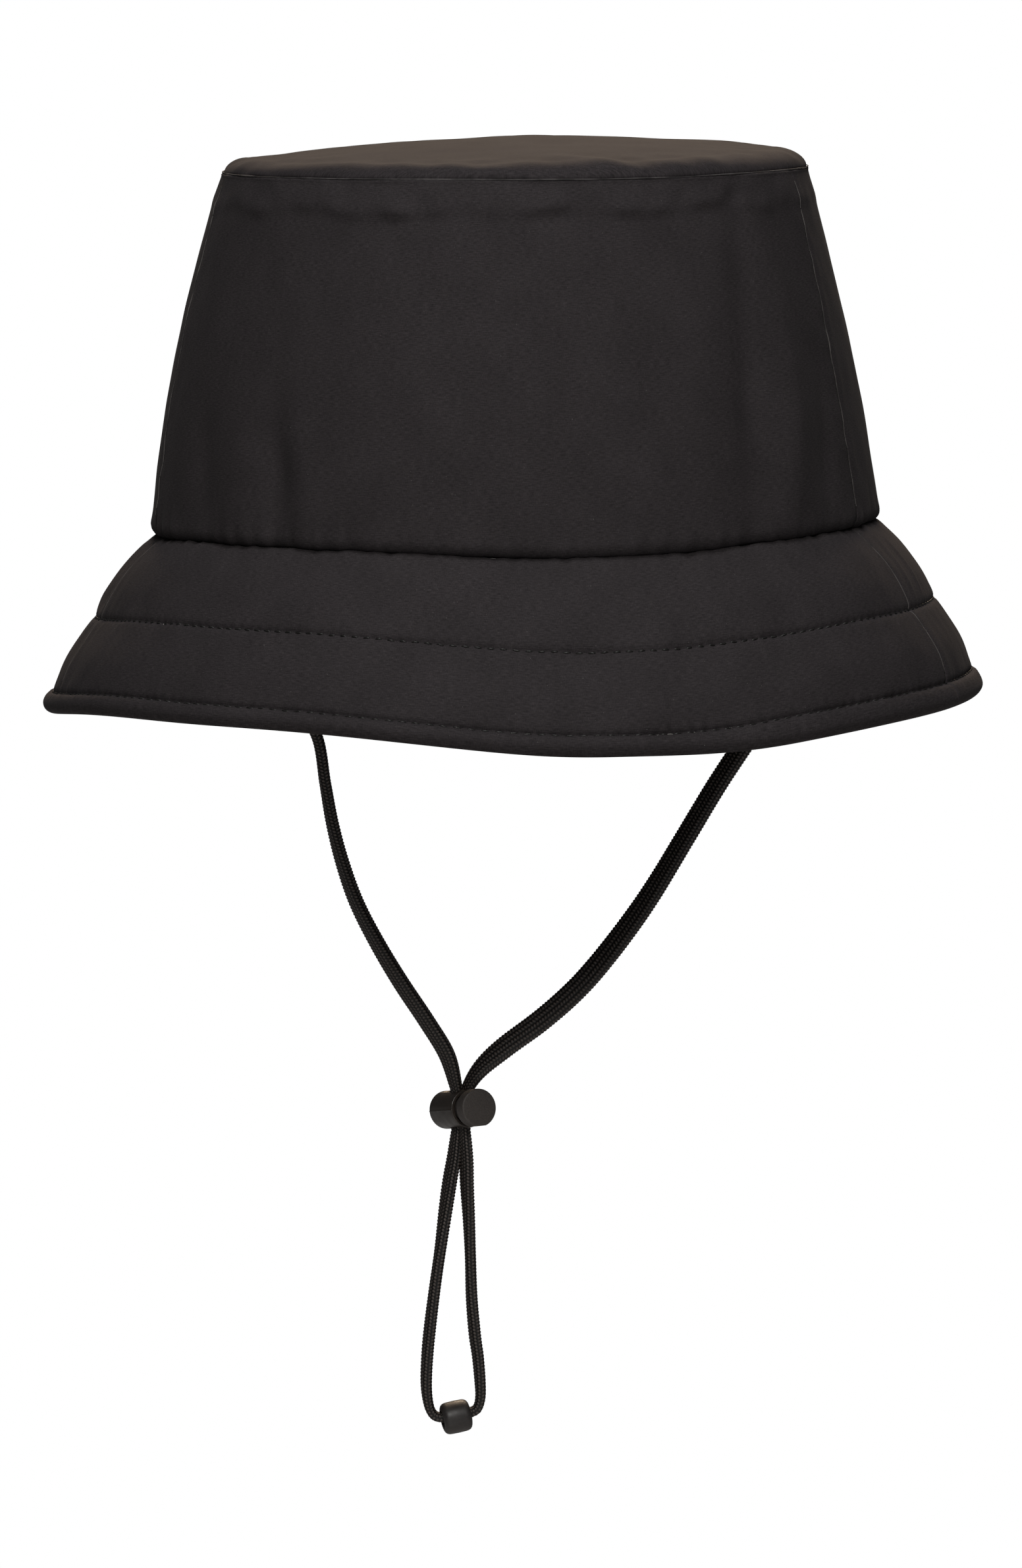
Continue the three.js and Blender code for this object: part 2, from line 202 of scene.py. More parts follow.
def on_hat(obj, slot, *nodes):
    """Attaches a piece to the hat itself."""
    return attach(obj, HAT, slot, *nodes)


def new_object(name, points, faces, material, uv=None, smooth=True):
    """A mesh object from points in millimetres. uv holds one (u, v) in centimetres for each point."""
    mesh = bpy.data.meshes.new(name)
    mesh.from_pydata((np.asarray(points, float) * MM).tolist(), [], faces)
    if uv is not None:
        layer = mesh.uv_layers.new(name="cloth")
        corner = np.zeros(len(mesh.loops), np.int32)
        mesh.loops.foreach_get("vertex_index", corner)
        layer.data.foreach_set("uv", np.asarray(uv, np.float32)[corner].ravel())
    mesh.materials.append(material)
    mesh.polygons.foreach_set("use_smooth", [smooth] * len(mesh.polygons))
    mesh.validate()
    mesh.update()
    return linked(name, mesh)


def loop_faces(columns, loop, around):
    """Quads over a grid of closed section loops, closed around as well if around is true."""
    i = np.arange(columns if around else columns - 1)[:, None]
    j = np.arange(loop)[None, :]
    following, beside = (i + 1) % columns, (j + 1) % loop
    quads = [i * loop + j, i * loop + beside, following * loop + beside, following * loop + j]
    return np.stack(quads, axis=-1).reshape(-1, 4).tolist()


def tube_faces(rings, sides, first=0):
    """The faces of a tube with closed ends, over rings of points that start at the point first."""
    last = first + (rings - 1) * sides
    faces = [[first + point for point in face] for face in loop_faces(rings, sides, False)]
    return faces + [list(range(first, first + sides))[::-1], list(range(last, last + sides))]


def shell_object(name, outer, inner, material, uv, around=False):
    """A thin closed shell from two grids of points (columns, rows, 3) with the same rows."""
    columns, rows, _ = outer.shape
    loops = np.concatenate([outer, inner[:, ::-1]], axis=1)
    faces = loop_faces(columns, 2 * rows, around)
    if not around:
        for column, flip in ((0, False), (columns - 1, True)):
            start = column * 2 * rows
            for row in range(rows - 1):
                quad = [start + row, start + 2 * rows - 1 - row,
                        start + 2 * rows - 2 - row, start + row + 1]
                faces.append(quad[::-1] if flip else quad)
    loop_uv = np.concatenate([uv, uv[:, ::-1]], axis=1).reshape(-1, 2)
    return new_object(name, loops.reshape(-1, 3), faces, material, loop_uv)


def unit(vectors):
    """A row of vectors, each made one unit long."""
    return vectors / np.linalg.norm(vectors, axis=1)[:, None]


def outwards(obj):
    """Turns a closed mesh's faces to the outside."""
    bm = bmesh.new()
    bm.from_mesh(obj.data)
    bmesh.ops.recalc_face_normals(bm, faces=bm.faces)
    bm.to_mesh(obj.data)
    bm.free()
    return obj


def tube(name, line, radius, material, sides=8, closed=False):
    """A round wire or thread along a line of points. radius is one number or one for each point."""
    steps = len(line)
    radius = np.broadcast_to(radius, steps)[:, None]
    if closed:
        tangent = np.roll(line, -1, axis=0) - np.roll(line, 1, axis=0)
    else:
        tangent = np.gradient(line, axis=0)
    tangent = unit(tangent)
    outer = line - line.mean(axis=0)
    outer = unit(outer - (outer * tangent).sum(1)[:, None] * tangent)
    other = np.cross(tangent, outer)
    turn = np.linspace(0, TURN, sides, endpoint=False)[None, :, None]
    ring = outer[:, None] * np.cos(turn) + other[:, None] * np.sin(turn)
    points = line[:, None] + ring * radius[..., None]
    faces = loop_faces(steps, sides, True) if closed else tube_faces(steps, sides)
    return outwards(new_object(name, points.reshape(-1, 3), faces, material))


def joined(name, objects):
    """Several mesh objects as one."""
    bm = bmesh.new()
    for obj in objects:
        bm.from_mesh(obj.data)
    material = objects[0].data.materials[0]
    for obj in objects:
        bpy.data.meshes.remove(obj.data)
    mesh = bpy.data.meshes.new(name)
    bm.to_mesh(mesh)
    bm.free()
    mesh.materials.append(material)
    return linked(name, mesh)


# ---- Curves and noise ----

def ripple(points, size, seed, stretch=(1, 1, 1)):
    """Smooth noise of about -1 to 1 in space, with bumps of about that size in millimetres."""
    random = np.random.default_rng(seed)
    waves = 14
    total = np.zeros(points.shape[:-1])
    for _ in range(waves):
        direction = random.normal(size=3)
        direction /= np.linalg.norm(direction)
        length = size * random.uniform(1.2, 2.6)
        phase = random.uniform(0, TURN)
        total += np.sin(points @ (direction / np.array(stretch)) * TURN / length + phase)
    return total / math.sqrt(waves)


def soft_step(x, low, high):
    """0 below low, 1 above high, smooth between."""
    share = np.clip((x - low) / (high - low), 0, 1)
    return share * share * (3 - 2 * share)


def bell(x, centre, width):
    """1 at the centre, falling smoothly to almost nothing at twice the width."""
    return np.exp(-(((x - centre) / width) ** 2))


def spline(a, b, c, d, s):
    """The smooth curve through b and c at the share s between them, with a before and d after."""
    return 0.5 * (2 * b + (c - a) * s + (2 * a - 5 * b + 4 * c - d) * s**2
                  + (3 * b - a - 3 * c + d) * s**3)


def in_degrees(t):
    """The angles t in degrees, from -180 to 180."""
    return (np.degrees(t) + 180) % 360 - 180


# ---- Shapes shared by the panels ----

def wave(t):
    """How far the brim's edge is lifted at the angles t."""
    return sum(height * np.exp(-np.abs((in_degrees(t) - angle) / spread) ** 3)
               for height, angle, spread in WAVES)


def seam_dip(t):
    """How far the seam of the top panel runs above or below its plain height."""
    return -0.35 - 0.75 * np.sin(t) - 0.45 * bell(in_degrees(t), 22, 25)


def on_oval(u, z, t):
    """Points at half width u and height z at the angles t, on the hat as it is worn."""
    up = np.clip(z / CROWN_HEIGHT, 0, 1)
    down = np.clip(-z / BRIM_DEPTH, 0, 1)
    to_edge = 1 - (1 - down) ** 1.7
    share = np.where(z > 0, SEAM_WAVE * (1 - up) ** 2, SEAM_WAVE + (1 - SEAM_WAVE) * to_edge)
    lift = wave(t) * share + SEAM_RISE * np.exp(-np.abs(z) / 12)
    lift = lift + seam_dip(t) * up**4 * np.clip(1 - (z - CROWN_HEIGHT) / 4, 0, 1)
    sideways = np.where(z > 0, CROWN_SIDEWAYS * up**3, BRIM_SIDEWAYS * down**2)
    return np.stack([u * np.sin(t) + sideways, -u * OVAL * np.cos(t) + 0 * z, z + lift], axis=-1)


def off_oval(across, up, t):
    """Directions at the angles t that lead outwards by across and upwards by up."""
    return np.stack([across * np.sin(t), -across * OVAL * np.cos(t), up + 0 * t], axis=-1)


def front_and_back(gap):
    """Name and end angles of the two panels that meet at the side seams, a gap in radians apart."""
    return (("front", SEAM_LEFT + gap, SEAM_RIGHT - gap),
            ("back", SEAM_RIGHT + gap, SEAM_LEFT + TURN - gap))


def wall(z):
    """Half width of the crown's outer fabric."""
    above = z - BULGE_HEIGHT
    return CROWN_BASE - CROWN_LEAN * above - CROWN_CURVE * above**2


FOLD_LEAN = 0.11  # folds hang plumb on the tapered crown: degrees for each mm of height

# Soft folds down the crown: angle, width in degrees, depth in mm (+ out), lowest and highest z.
FOLDS = (
    (42, 3.4, -1.6, -8, 92),
    (50.5, 4.4, 2.3, -5, 62),
    (60, 3.0, -1.1, -5, 48),
    (30, 5.0, 0.6, -5, 75),
    (-40, 3.0, -1.5, -12, 44),
    (-34.5, 3.0, 0.9, -10, 44),
    (-49, 4.5, 0.8, -10, 50),
    (-58, 4.0, -1.4, -12, 40),
    (-24, 9.0, 0.4, 5, 80),
    (108, 7.0, -1.4, -5, 75),
    (133, 6.0, 1.0, -5, 60),
    (171, 8.0, -1.3, -5, 80),
    (-160, 6.0, 0.9, -5, 65),
    (-128, 7.0, -1.5, -5, 70),
    (-103, 6.0, 0.8, -5, 70),
)


def crown_relief(t, z):
    """How far the crown's fabric stands out of its plain wall: folds, seams and puckers."""
    points = on_oval(wall(z), z + 0 * t, t)
    relief = 0.25 * ripple(points, 26, 1, (1, 1, 1.8)) + 0.08 * ripple(points, 7, 2, (1, 1, 1.5))
    for angle, width, depth, low, high in FOLDS:
        middle = (low + high) / 2
        lean = (z - middle) * FOLD_LEAN * math.sin(math.radians(angle))
        down = bell(z, middle, (high - low) / 2 * 0.75)
        relief = relief + depth * bell(in_degrees(t), angle + lean, width) * down
    # The seam allowance of the top seam shows through as a lumpy band, fullest at its lower edge.
    from_seam = CROWN_HEIGHT - z
    lower_edge = 6.6 + 0.9 * ripple(points, 14, 3)
    fading = 1 - soft_step(from_seam, lower_edge, lower_edge + 3.5)
    band = np.clip(from_seam / lower_edge, 0, 1) * fading
    at_side = np.abs(np.sin(t)) ** 6
    relief = relief + band * (1 - 0.8 * at_side) * (0.75 + 0.6 * ripple(points, 6, 4))
    relief = relief + 0.22 * bell(from_seam, 0.35, 0.4)
    # Small puckers above the brim seam.
    pucker = ripple(points, 2.6, 5, (1, 1, 6))
    relief = relief + 0.28 * pucker * np.exp(-np.maximum(z - 1.5, 0) / 3.5)
    for _, seam in SEAMS:
        across = (t - seam) * CROWN_BASE
        relief = relief + 0.20 * bell(across, 3.4, 2.4) + 0.12 * bell(np.abs(across), 0.3, 0.4)
        relief = relief + 0.12 * bell(across, 0, 6) * ripple(points, 4, 6)
    return relief


def crown_panel(name, t_from, t_to, columns, material):
    """One side panel of the crown, rolled in at the brim seam, and its grid of outer points."""
    t = np.linspace(t_from, t_to, columns)[:, None]
    roll = np.array([-2.0, -1.5, -1.1, -0.8, -0.45, 0.0, 0.5, 1.1, 1.8, 2.6])
    plain = np.arange(3.6, CROWN_HEIGHT - 2.2, 1.25)
    shut = CROWN_HEIGHT - np.array([1.7, 1.2, 0.8, 0.45, 0.2, 0.05])
    z = np.concatenate([roll, plain, shut])[None, :]
    tuck = 3.1 * (1 - np.sqrt(1 - np.clip((2.6 - z) / 3.6, 0, 1) ** 2))
    tuck = tuck + 0.35 * soft_step(z, CROWN_HEIGHT - 0.5, CROWN_HEIGHT) ** 2
    u = wall(z) + crown_relief(t, z) - tuck
    inner = np.minimum(u - SHELL, wall(z) - SHELL - 0.15)
    uv = np.stack([t * CROWN_BASE / 10 + 0 * z, z / 10 + 0 * t], axis=-1)
    outer = on_oval(u, z + 0 * t, t)
    return outwards(shell_object(name, outer, on_oval(inner, z + 0 * t, t), material, uv)), outer


# ---- Crown top ----

def tip_object(name, drop, material, columns=420):
    """The top panel of the crown, or with a drop in millimetres the lining under it."""
    t = np.linspace(-math.pi, math.pi, columns, endpoint=False)[:, None]
    seam_u = CROWN_TOP - 0.35
    seam = CROWN_HEIGHT + 0.1
    shoulder = 6.6 + 1.6 * soft_step(np.sin(t), 0.1, 1.0)
    rim_drop = 3.5
    edge = seam_u - shoulder
    power = 1.6 + 0.3 * np.sin(t)
    share = np.concatenate([np.linspace(0.02, 0.3, 8), np.linspace(0.34, 1.0, 30)])[None, :]
    top_z = DOME_TOP - (DOME_TOP - seam - rim_drop) * share**power
    bend = np.radians(np.array([8, 16, 25, 34, 43, 52, 61, 70, 79, 87, 94, 104]))[None, :]
    under = np.maximum(0, -np.cos(bend))
    rim_u = edge + shoulder * np.sin(np.minimum(bend, math.pi / 2)) - 1.0 * under
    rim_z = seam + rim_drop * np.cos(np.minimum(bend, math.pi / 2)) - 0.5 * under + 0 * t
    u = np.concatenate([edge * share, rim_u], axis=1)
    z = np.concatenate([top_z, rim_z], axis=1)
    points = on_oval(u, z, t)
    across = np.concatenate([share + 0 * t, 1 + 0 * bend + 0 * t], axis=1)
    lumps = 0.25 * ripple(points, 30, 11) + 0.10 * ripple(points, 9, 12)
    lumps = lumps + 0.22 * bell(across, 1.0, 0.14) * ripple(points, 7, 13)
    points[..., 2] += lumps * soft_step(z, seam - 0.4, seam + 1.2)
    points[..., :2] *= 1 - drop / CROWN_TOP
    points[..., 2] -= drop
    thick = 0.9
    inner = points.copy()
    inner[..., 2] -= thick
    inner[..., :2] *= (1 - thick / CROWN_TOP * soft_step(across, 0.9, 1.0))[..., None]
    uv = points[..., :2] / 10
    tip = shell_object(name, points, inner, material, uv, around=True)
    loop = 2 * points.shape[1]
    bm = bmesh.new()
    bm.from_mesh(tip.data)
    bm.verts.ensure_lookup_table()
    # The grid leaves a pinhole in the middle: its inner wall goes, and two fans close it.
    wall_faces = [f for f in bm.faces if {v.index % loop for v in f.verts} == {0, loop - 1}]
    bmesh.ops.delete(bm, geom=wall_faces, context="FACES_ONLY")
    bm.verts.ensure_lookup_table()
    for place in (0, loop - 1):
        bm.faces.new([bm.verts[column * loop + place] for column in range(columns)]).smooth = True
    bm.to_mesh(tip.data)
    bm.free()
    return outwards(tip)


# ---- Brim ----

def brim_stations(side):
    """Down one surface of the brim: places on its middle line (half width and height), their slope,
    half the thickness, the swelling and the distance from the crown seam. The last ones go round
    the lip."""
    u, z = BRIM_START
    stations = []
    run = 0.0
    for row, (length, flare) in enumerate(BRIM_ROWS):
        steps = 26 if row == 0 else 22
        before = BRIM_ROWS[row - 1][1] if row else flare
        after = BRIM_ROWS[row + 1][1] if row + 1 < len(BRIM_ROWS) else flare
        for share in (1 - np.cos(np.linspace(0, math.pi, steps, endpoint=False))) / 2:
            near_start = (flare + before) / 2 + (flare - before) / 2 * min(1, share * 4)
            slope = math.radians(near_start + (after - flare) / 2 * max(0, share * 4 - 3))
            own = math.radians(flare)
            place = (u + length * share * math.sin(own), z - length * share * math.cos(own))
            puff = 1.05 * PUFF[side][row] * (1 - (1 - share) ** 10) * (1 - share**3)
            stations.append((*place, slope, BRIM_HALF, puff, run + length * share))
        u += length * math.sin(math.radians(flare))
        z -= length * math.cos(math.radians(flare))
        run += length
    slope = math.radians(BRIM_ROWS[-1][1])
    start = math.acos(LIP_REACH / LIP_RADIUS)
    for angle in np.linspace(start, math.pi - 0.03, 16):
        along = LIP_REACH - LIP_RADIUS * math.cos(angle)
        place = (u + along * math.sin(slope), z - along * math.cos(slope))
        stations.append((*place, slope, LIP_RADIUS * math.sin(angle), 0.0, run + along))
    return np.array(stations)


# Creases across the first row of the brim: angle, width in mm, height in mm.
BRIM_CREASES = (
    (71.5, 1.3, 0.34), (75.5, 1.1, 0.30), (62, 3.0, 0.25), (-82, 4.0, -0.9), (-88, 3.5, 0.6),
    (-112, 3.5, 0.5), (104, 4.0, -0.5), (148, 5.0, 0.5), (-150, 4.0, -0.5), (180, 5.0, 0.4),
)


def brim_relief(t, run, points, side):
    """How far one surface of the brim stands off its plain puffed shape."""
    relief = 0.22 * ripple(points, 22, 21 + side) + 0.08 * ripple(points, 7, 23 + side)
    first = BRIM_ROWS[0][0]
    in_first = soft_step(run, 0.5, 5) * (1 - soft_step(run, first - 6, first))
    for angle, width, height in BRIM_CREASES:
        away = (t - math.radians(angle) + math.pi) % TURN - math.pi
        across = away * BRIM_RADIUS + (run - 13) * 0.12  # the creases slant a little
        relief = relief + side * height * bell(across, 0, width) * in_first
    for line in STITCH_LINES:
        away = np.abs(run - line)
        relief = relief - 0.55 * bell(away, 0, 0.65)
        pull = np.cos(TURN * t * DIMPLE_RADIUS / STITCH_PITCH)
        relief = relief - 0.13 * pull * bell(away, 0, 1.3)
        relief = relief + 0.16 * ripple(points, 3.2, 25 + side, (1, 1, 4)) * np.exp(-away / 3.2)
    relief = relief + 0.24 * ripple(points, 2.6, 29 + side, (1, 1, 5)) * np.exp(-run / 3.0)
    for _, seam in SEAMS:
        across = (t - seam) * BRIM_RADIUS
        relief = relief - 0.10 * bell(across, 0, 0.4) + 0.20 * bell(across, 2.6, 2.2)
    return relief


# ---- Cloth simulation of the padded brim ----

PAD_AROUND = 300
PAD_ROWS = (12, 10)  # steps along each row
PAD_HALF = 0.5  # half the pad's thickness in a stitch line
PAD_START = 0.45  # share of the full swelling that the simulation starts from
PAD_FRAMES = 20
PAD_PRESSURE = 4.0
PAD_CAP = 1.35  # the cloth may swell to this share of the plain swelling
PAD_WRINKLES = 0.22  # share of the simulated wrinkles that the firm padding lets through

swelling = {}  # for each side: how far the cloth has swollen, at the pad's grid points


def pad_runs():
    """Distances from the crown seam to the pad's grid lines, evenly spaced in each row."""
    first, second = BRIM_ROWS[0][0], BRIM_ROWS[1][0]
    start = np.linspace(0, first, PAD_ROWS[0], endpoint=False)
    return np.concatenate([start, first + np.linspace(0, second, PAD_ROWS[1] + 1)])


def pad_surface(t, side, share):
    """Middle points, directions and swelling of one side of the pad, on the pad's grid."""
    stations = brim_stations(side)
    runs = pad_runs()
    columns = [np.interp(runs, stations[:, 5], column)[None, :] for column in stations.T]
    u, z, slope, _, puff, _ = columns
    middle = on_oval(u + 0 * t, z + 0 * t, t)
    direction = side * off_oval(np.cos(slope), np.sin(slope), t)
    return middle, direction, puff * share


def swell_cloth(pad, rows):
    """Blows up the pad with its stitch lines held, and gives the grid of places it reaches."""
    held_rows = [0, PAD_ROWS[0], rows - 1]
    held_rows += [2 * rows - 1 - row for row in held_rows]
    held = pad.vertex_groups.new(name="stitched")
    held.add([i * 2 * rows + row for i in range(PAD_AROUND) for row in held_rows], 1.0, "REPLACE")
    cloth = pad.modifiers.new("cloth", "CLOTH")
    cloth.settings.quality = 6
    cloth.settings.vertex_group_mass = held.name
    cloth.settings.use_pressure = True
    cloth.settings.uniform_pressure_force = PAD_PRESSURE
    cloth.settings.shrink_min = -0.006
    cloth.settings.bending_stiffness = 5
    cloth.settings.effector_weights.gravity = 0
    cloth.collision_settings.use_collision = False
    cloth.point_cache.frame_end = PAD_FRAMES
    for frame_number in range(1, PAD_FRAMES + 1):
        bpy.context.scene.frame_set(frame_number)
    graph = bpy.context.evaluated_depsgraph_get()
    swollen = bpy.data.meshes.new_from_object(pad.evaluated_get(graph))
    pad.modifiers.clear()
    bpy.context.scene.frame_set(1)
    place = np.zeros(len(swollen.vertices) * 3)
    swollen.vertices.foreach_get("co", place)
    return place.reshape(PAD_AROUND, 2 * rows, 3) / MM


def make_pad(material):
    """The closed ring of padding, swollen between its stitch lines. Keeps how far it has swollen."""
    t = np.linspace(-math.pi, math.pi, PAD_AROUND, endpoint=False)[:, None]
    sides = {side: pad_surface(t, side, PAD_START) for side in (1, -1)}

    def grid(off):
        upper, under = (sides[side][0] + sides[side][1] * (PAD_HALF + off[side])[..., None]
                        for side in (1, -1))
        return np.concatenate([upper, under[:, ::-1]], axis=1)

    start = grid({side: puff for side, (_, _, puff) in sides.items()})
    rows = start.shape[1] // 2
    pad = new_object("brim_pad", start.reshape(-1, 3), loop_faces(PAD_AROUND, 2 * rows, True), material)
    outwards(pad)
    place = swell_cloth(pad, rows)
    for side, found in ((1, place[:, :rows]), (-1, place[:, :rows - 1:-1])):
        middle, direction, plain = sides[side]
        off = ((found - middle) * direction).sum(-1) / (direction**2).sum(-1) - PAD_HALF
        full = plain / PAD_START
        off = off * full[:, 2:-2].mean() / max(off[:, 2:-2].mean(), 0.05)
        even = off.mean(axis=0, keepdims=True)
        off = even + PAD_WRINKLES * (off - even)
        swelling[side] = np.clip(off, 0, PAD_CAP * full.max(axis=1, keepdims=True))
    pad.data.vertices.foreach_set("co", grid(swelling).reshape(-1) * MM)
    pad.data.update()
    return pad


def between(values, place, wraps):
    """Smooth values between the rows of a grid, at fractional row numbers."""
    base = np.floor(place).astype(int)
    s = (place - base)[:, None]

    def row(shift):
        index = base + shift
        return values[index % len(values) if wraps else np.clip(index, 0, len(values) - 1)]

    return spline(*(row(shift) for shift in (-1, 0, 1, 2)), s)


def sample_swelling(side, t, run):
    """The simulated swelling at the angles t and the distances run, none on the rolled edge."""
    around = ((t[:, 0] + math.pi) / TURN % 1) * PAD_AROUND
    runs = pad_runs()
    along = np.interp(run[0], runs, np.arange(len(runs)))
    columns = between(swelling[side], around, True)
    return between(columns.T, along, False).T * (run <= runs[-1])


# ---- Brim panels ----

def lip_sag(t, run):
    """How much deeper than its plain shape the rolled edge hangs."""
    degrees = in_degrees(t)
    amount = LIP_SAG * soft_step(degrees, 12, 36) * (1 - soft_step(degrees, 100, 140))
    return amount * soft_step(run, STITCH_LINES[1] + 0.5, STITCH_LINES[1] + 3.5)


def brim_surface(t, side):
    """Outer points of one surface of the brim, its distances from the seam and its normals."""
    stations = brim_stations(side)
    u, z, slope, half, puff, run = (column[None, :] for column in stations.T)
    if side in swelling:
        puff = sample_swelling(side, t, run)
    sag = lip_sag(t, run)
    u, z = u + sag * np.sin(slope), z - sag * np.cos(slope)
    rolled = half * (1 - 0.3 * np.exp(-run / 0.9))
    middle = on_oval(u + 0 * t, z + 0 * t, t)
    lip = soft_step(run, STITCH_LINES[1], STITCH_LINES[1] + 2.5)
    relief = brim_relief(t, run, middle, side) * (1 - 0.7 * lip)
    off = side * (rolled + puff * (1 + 0.10 * ripple(middle, 30, 31)) + relief)
    edge = soft_step(run, run.max() - 1.0, run.max())
    off = off * (1 - edge) + side * rolled * edge
    return on_oval(u + off * np.cos(slope), z + off * np.sin(slope), t), run, slope


def brim_panel(name, side, t_from, t_to, columns, material):
    """One panel of the brim's upper or under cloth, and its grid of outer points."""
    t = np.linspace(t_from, t_to, columns)[:, None]
    outer, run, slope = brim_surface(t, side)
    lip = soft_step(run, STITCH_LINES[1] + 1.0, run.max())
    inner = outer - side * 0.8 * off_oval(np.cos(slope), np.sin(slope), t)
    inner = inner + off_oval(-np.sin(slope), np.cos(slope), t) * (0.9 * lip)[..., None]
    uv = np.stack([t * BRIM_RADIUS / 10 + 0 * run, run / 10 + 0 * t], axis=-1)
    return outwards(shell_object(name, outer, inner, material, uv)), outer


def stitches(name, side, line, material):
    """A row of short threads along a stitch line, sunk in its groove."""
    surface_t = np.linspace(-math.pi, math.pi, 721)
    outer, run, slope = brim_surface(surface_t[:, None], side)
    nearest = int(np.argmin(np.abs(run[0] - line)))
    groove = outer[:, nearest]
    out, up = math.cos(slope[0, nearest]), math.sin(slope[0, nearest])
    count = int(TURN * BRIM_RADIUS / STITCH_PITCH)
    sections, sides = 7, 6
    turn = TURN * np.arange(sides)[:, None] / sides
    random = np.random.default_rng(41 + int(line) + side)
    points, faces = [], []
    for number in range(count):
        middle = (number + 0.5) * TURN / count - math.pi
        skew = random.uniform(-0.16, 0.16)
        faces += tube_faces(sections, sides, len(points))
        for share in np.linspace(-1, 1, sections):
            angle = middle + share * STITCH_LENGTH / 2 / BRIM_RADIUS
            centre = np.array([np.interp(angle, surface_t, groove[:, axis]) for axis in range(3)])
            normal = np.array([out * math.sin(angle), -out * math.cos(angle), up]) * side
            down = np.array([up * math.sin(angle), -up * math.cos(angle), -out])
            thick = THREAD_RADIUS * math.sqrt(max(0.05, 1 - share**4))
            centre = centre + normal * (0.12 - 0.42 * share**2) + down * skew * share
            points.extend(centre + thick * (np.cos(turn) * normal + np.sin(turn) * down))
    return outwards(new_object(name, points, faces, material))


# ---- Inside ----

def inside_layer(name, low, high, depth, thick, t_from, t_to, columns, rows, material, seed,
                 around=False):
    """A soft layer inside the crown, its face at that depth, and its grid of points."""
    t = np.linspace(t_from, t_to, columns, endpoint=not around)[:, None]
    z = np.linspace(low, high, rows)[None, :]
    plain = wall(np.maximum(z, 0)) - depth
    waves = 0.4 * np.clip(ripple(on_oval(plain + depth, z, t), 18, seed, (1, 1, 2)), -1.2, 0.6)
    u = plain + 0.3 * waves
    roll = thick * 0.45 * (1 - np.sqrt(1 - (2 * (z - low) / (high - low) - 1) ** 8 * 0.98))
    outer = on_oval(u - roll * 0.2, z + 0 * t, t)
    inner = on_oval(u - thick + roll + 0.5 * waves, z + 0 * t, t)
    uv = np.stack([t * 9 + 0 * z, z / 10 + 0 * t], axis=-1)
    return outwards(shell_object(name, outer, inner, material, uv, around)), outer


# ---- Cords ----

def smooth_route(points, step=0.5):
    """A smooth line through a few points, with a point about every step millimetres."""
    p = np.array(points, float)
    p = np.concatenate([[2 * p[0] - p[1]], p, [2 * p[-1] - p[-2]]])
    line = []
    for i in range(1, len(p) - 2):
        a, b, c, d = p[i - 1:i + 3]
        count = max(2, int(np.linalg.norm(c - b) / step))
        for s in np.linspace(0, 1, count, endpoint=False):
            line.append(spline(a, b, c, d, s))
    line.append(p[-2])
    line = np.array(line)
    along = np.concatenate([[0], np.cumsum(np.linalg.norm(np.diff(line, axis=0), axis=1))])
    even = np.linspace(0, along[-1], int(along[-1] / step) + 1)
    return np.stack([np.interp(even, along, line[:, k]) for k in range(line.shape[1])], axis=1)


BRAID_STEP = 0.22
BRAID_SIDES = 60
BRAID_COLUMNS = 12  # four columns of knots on each flat face and two round each edge
KNOT_PITCH = 0.9
KNOT_DEPTH = 0.3


def flat_round(angle, wide, thick, side_power, face_power):
    """Points at some angles round a flat section with more or less round edges."""
    x = np.sign(np.cos(angle)) * np.abs(np.cos(angle)) ** side_power * wide / 2
    y = np.sign(np.sin(angle)) * np.abs(np.sin(angle)) ** face_power * thick / 2
    return x, y


def braid_section():
    """Points round the cord's flat section, evenly spaced along its outline."""
    x, y = flat_round(np.linspace(0, TURN, 721), CORD_WIDTH, CORD_THICK, 0.62, 0.62)
    run = np.concatenate([[0], np.cumsum(np.hypot(np.diff(x), np.diff(y)))])
    even = np.linspace(0, run[-1], BRAID_SIDES, endpoint=False)
    return np.interp(even, run, x), np.interp(even, run, y)


def along_share(share, pairs):
    """A value that changes smoothly along a cord, from pairs of (share of its length, value)."""
    value = np.interp(share, [at for at, _ in pairs], [v for _, v in pairs])
    window = 41
    return np.convolve(np.pad(value, window // 2, mode="edge"), np.ones(window) / window, "valid")


def line_length(points):
    """How long a line through some points is."""
    return float(np.linalg.norm(np.diff(points, axis=0), axis=1).sum())


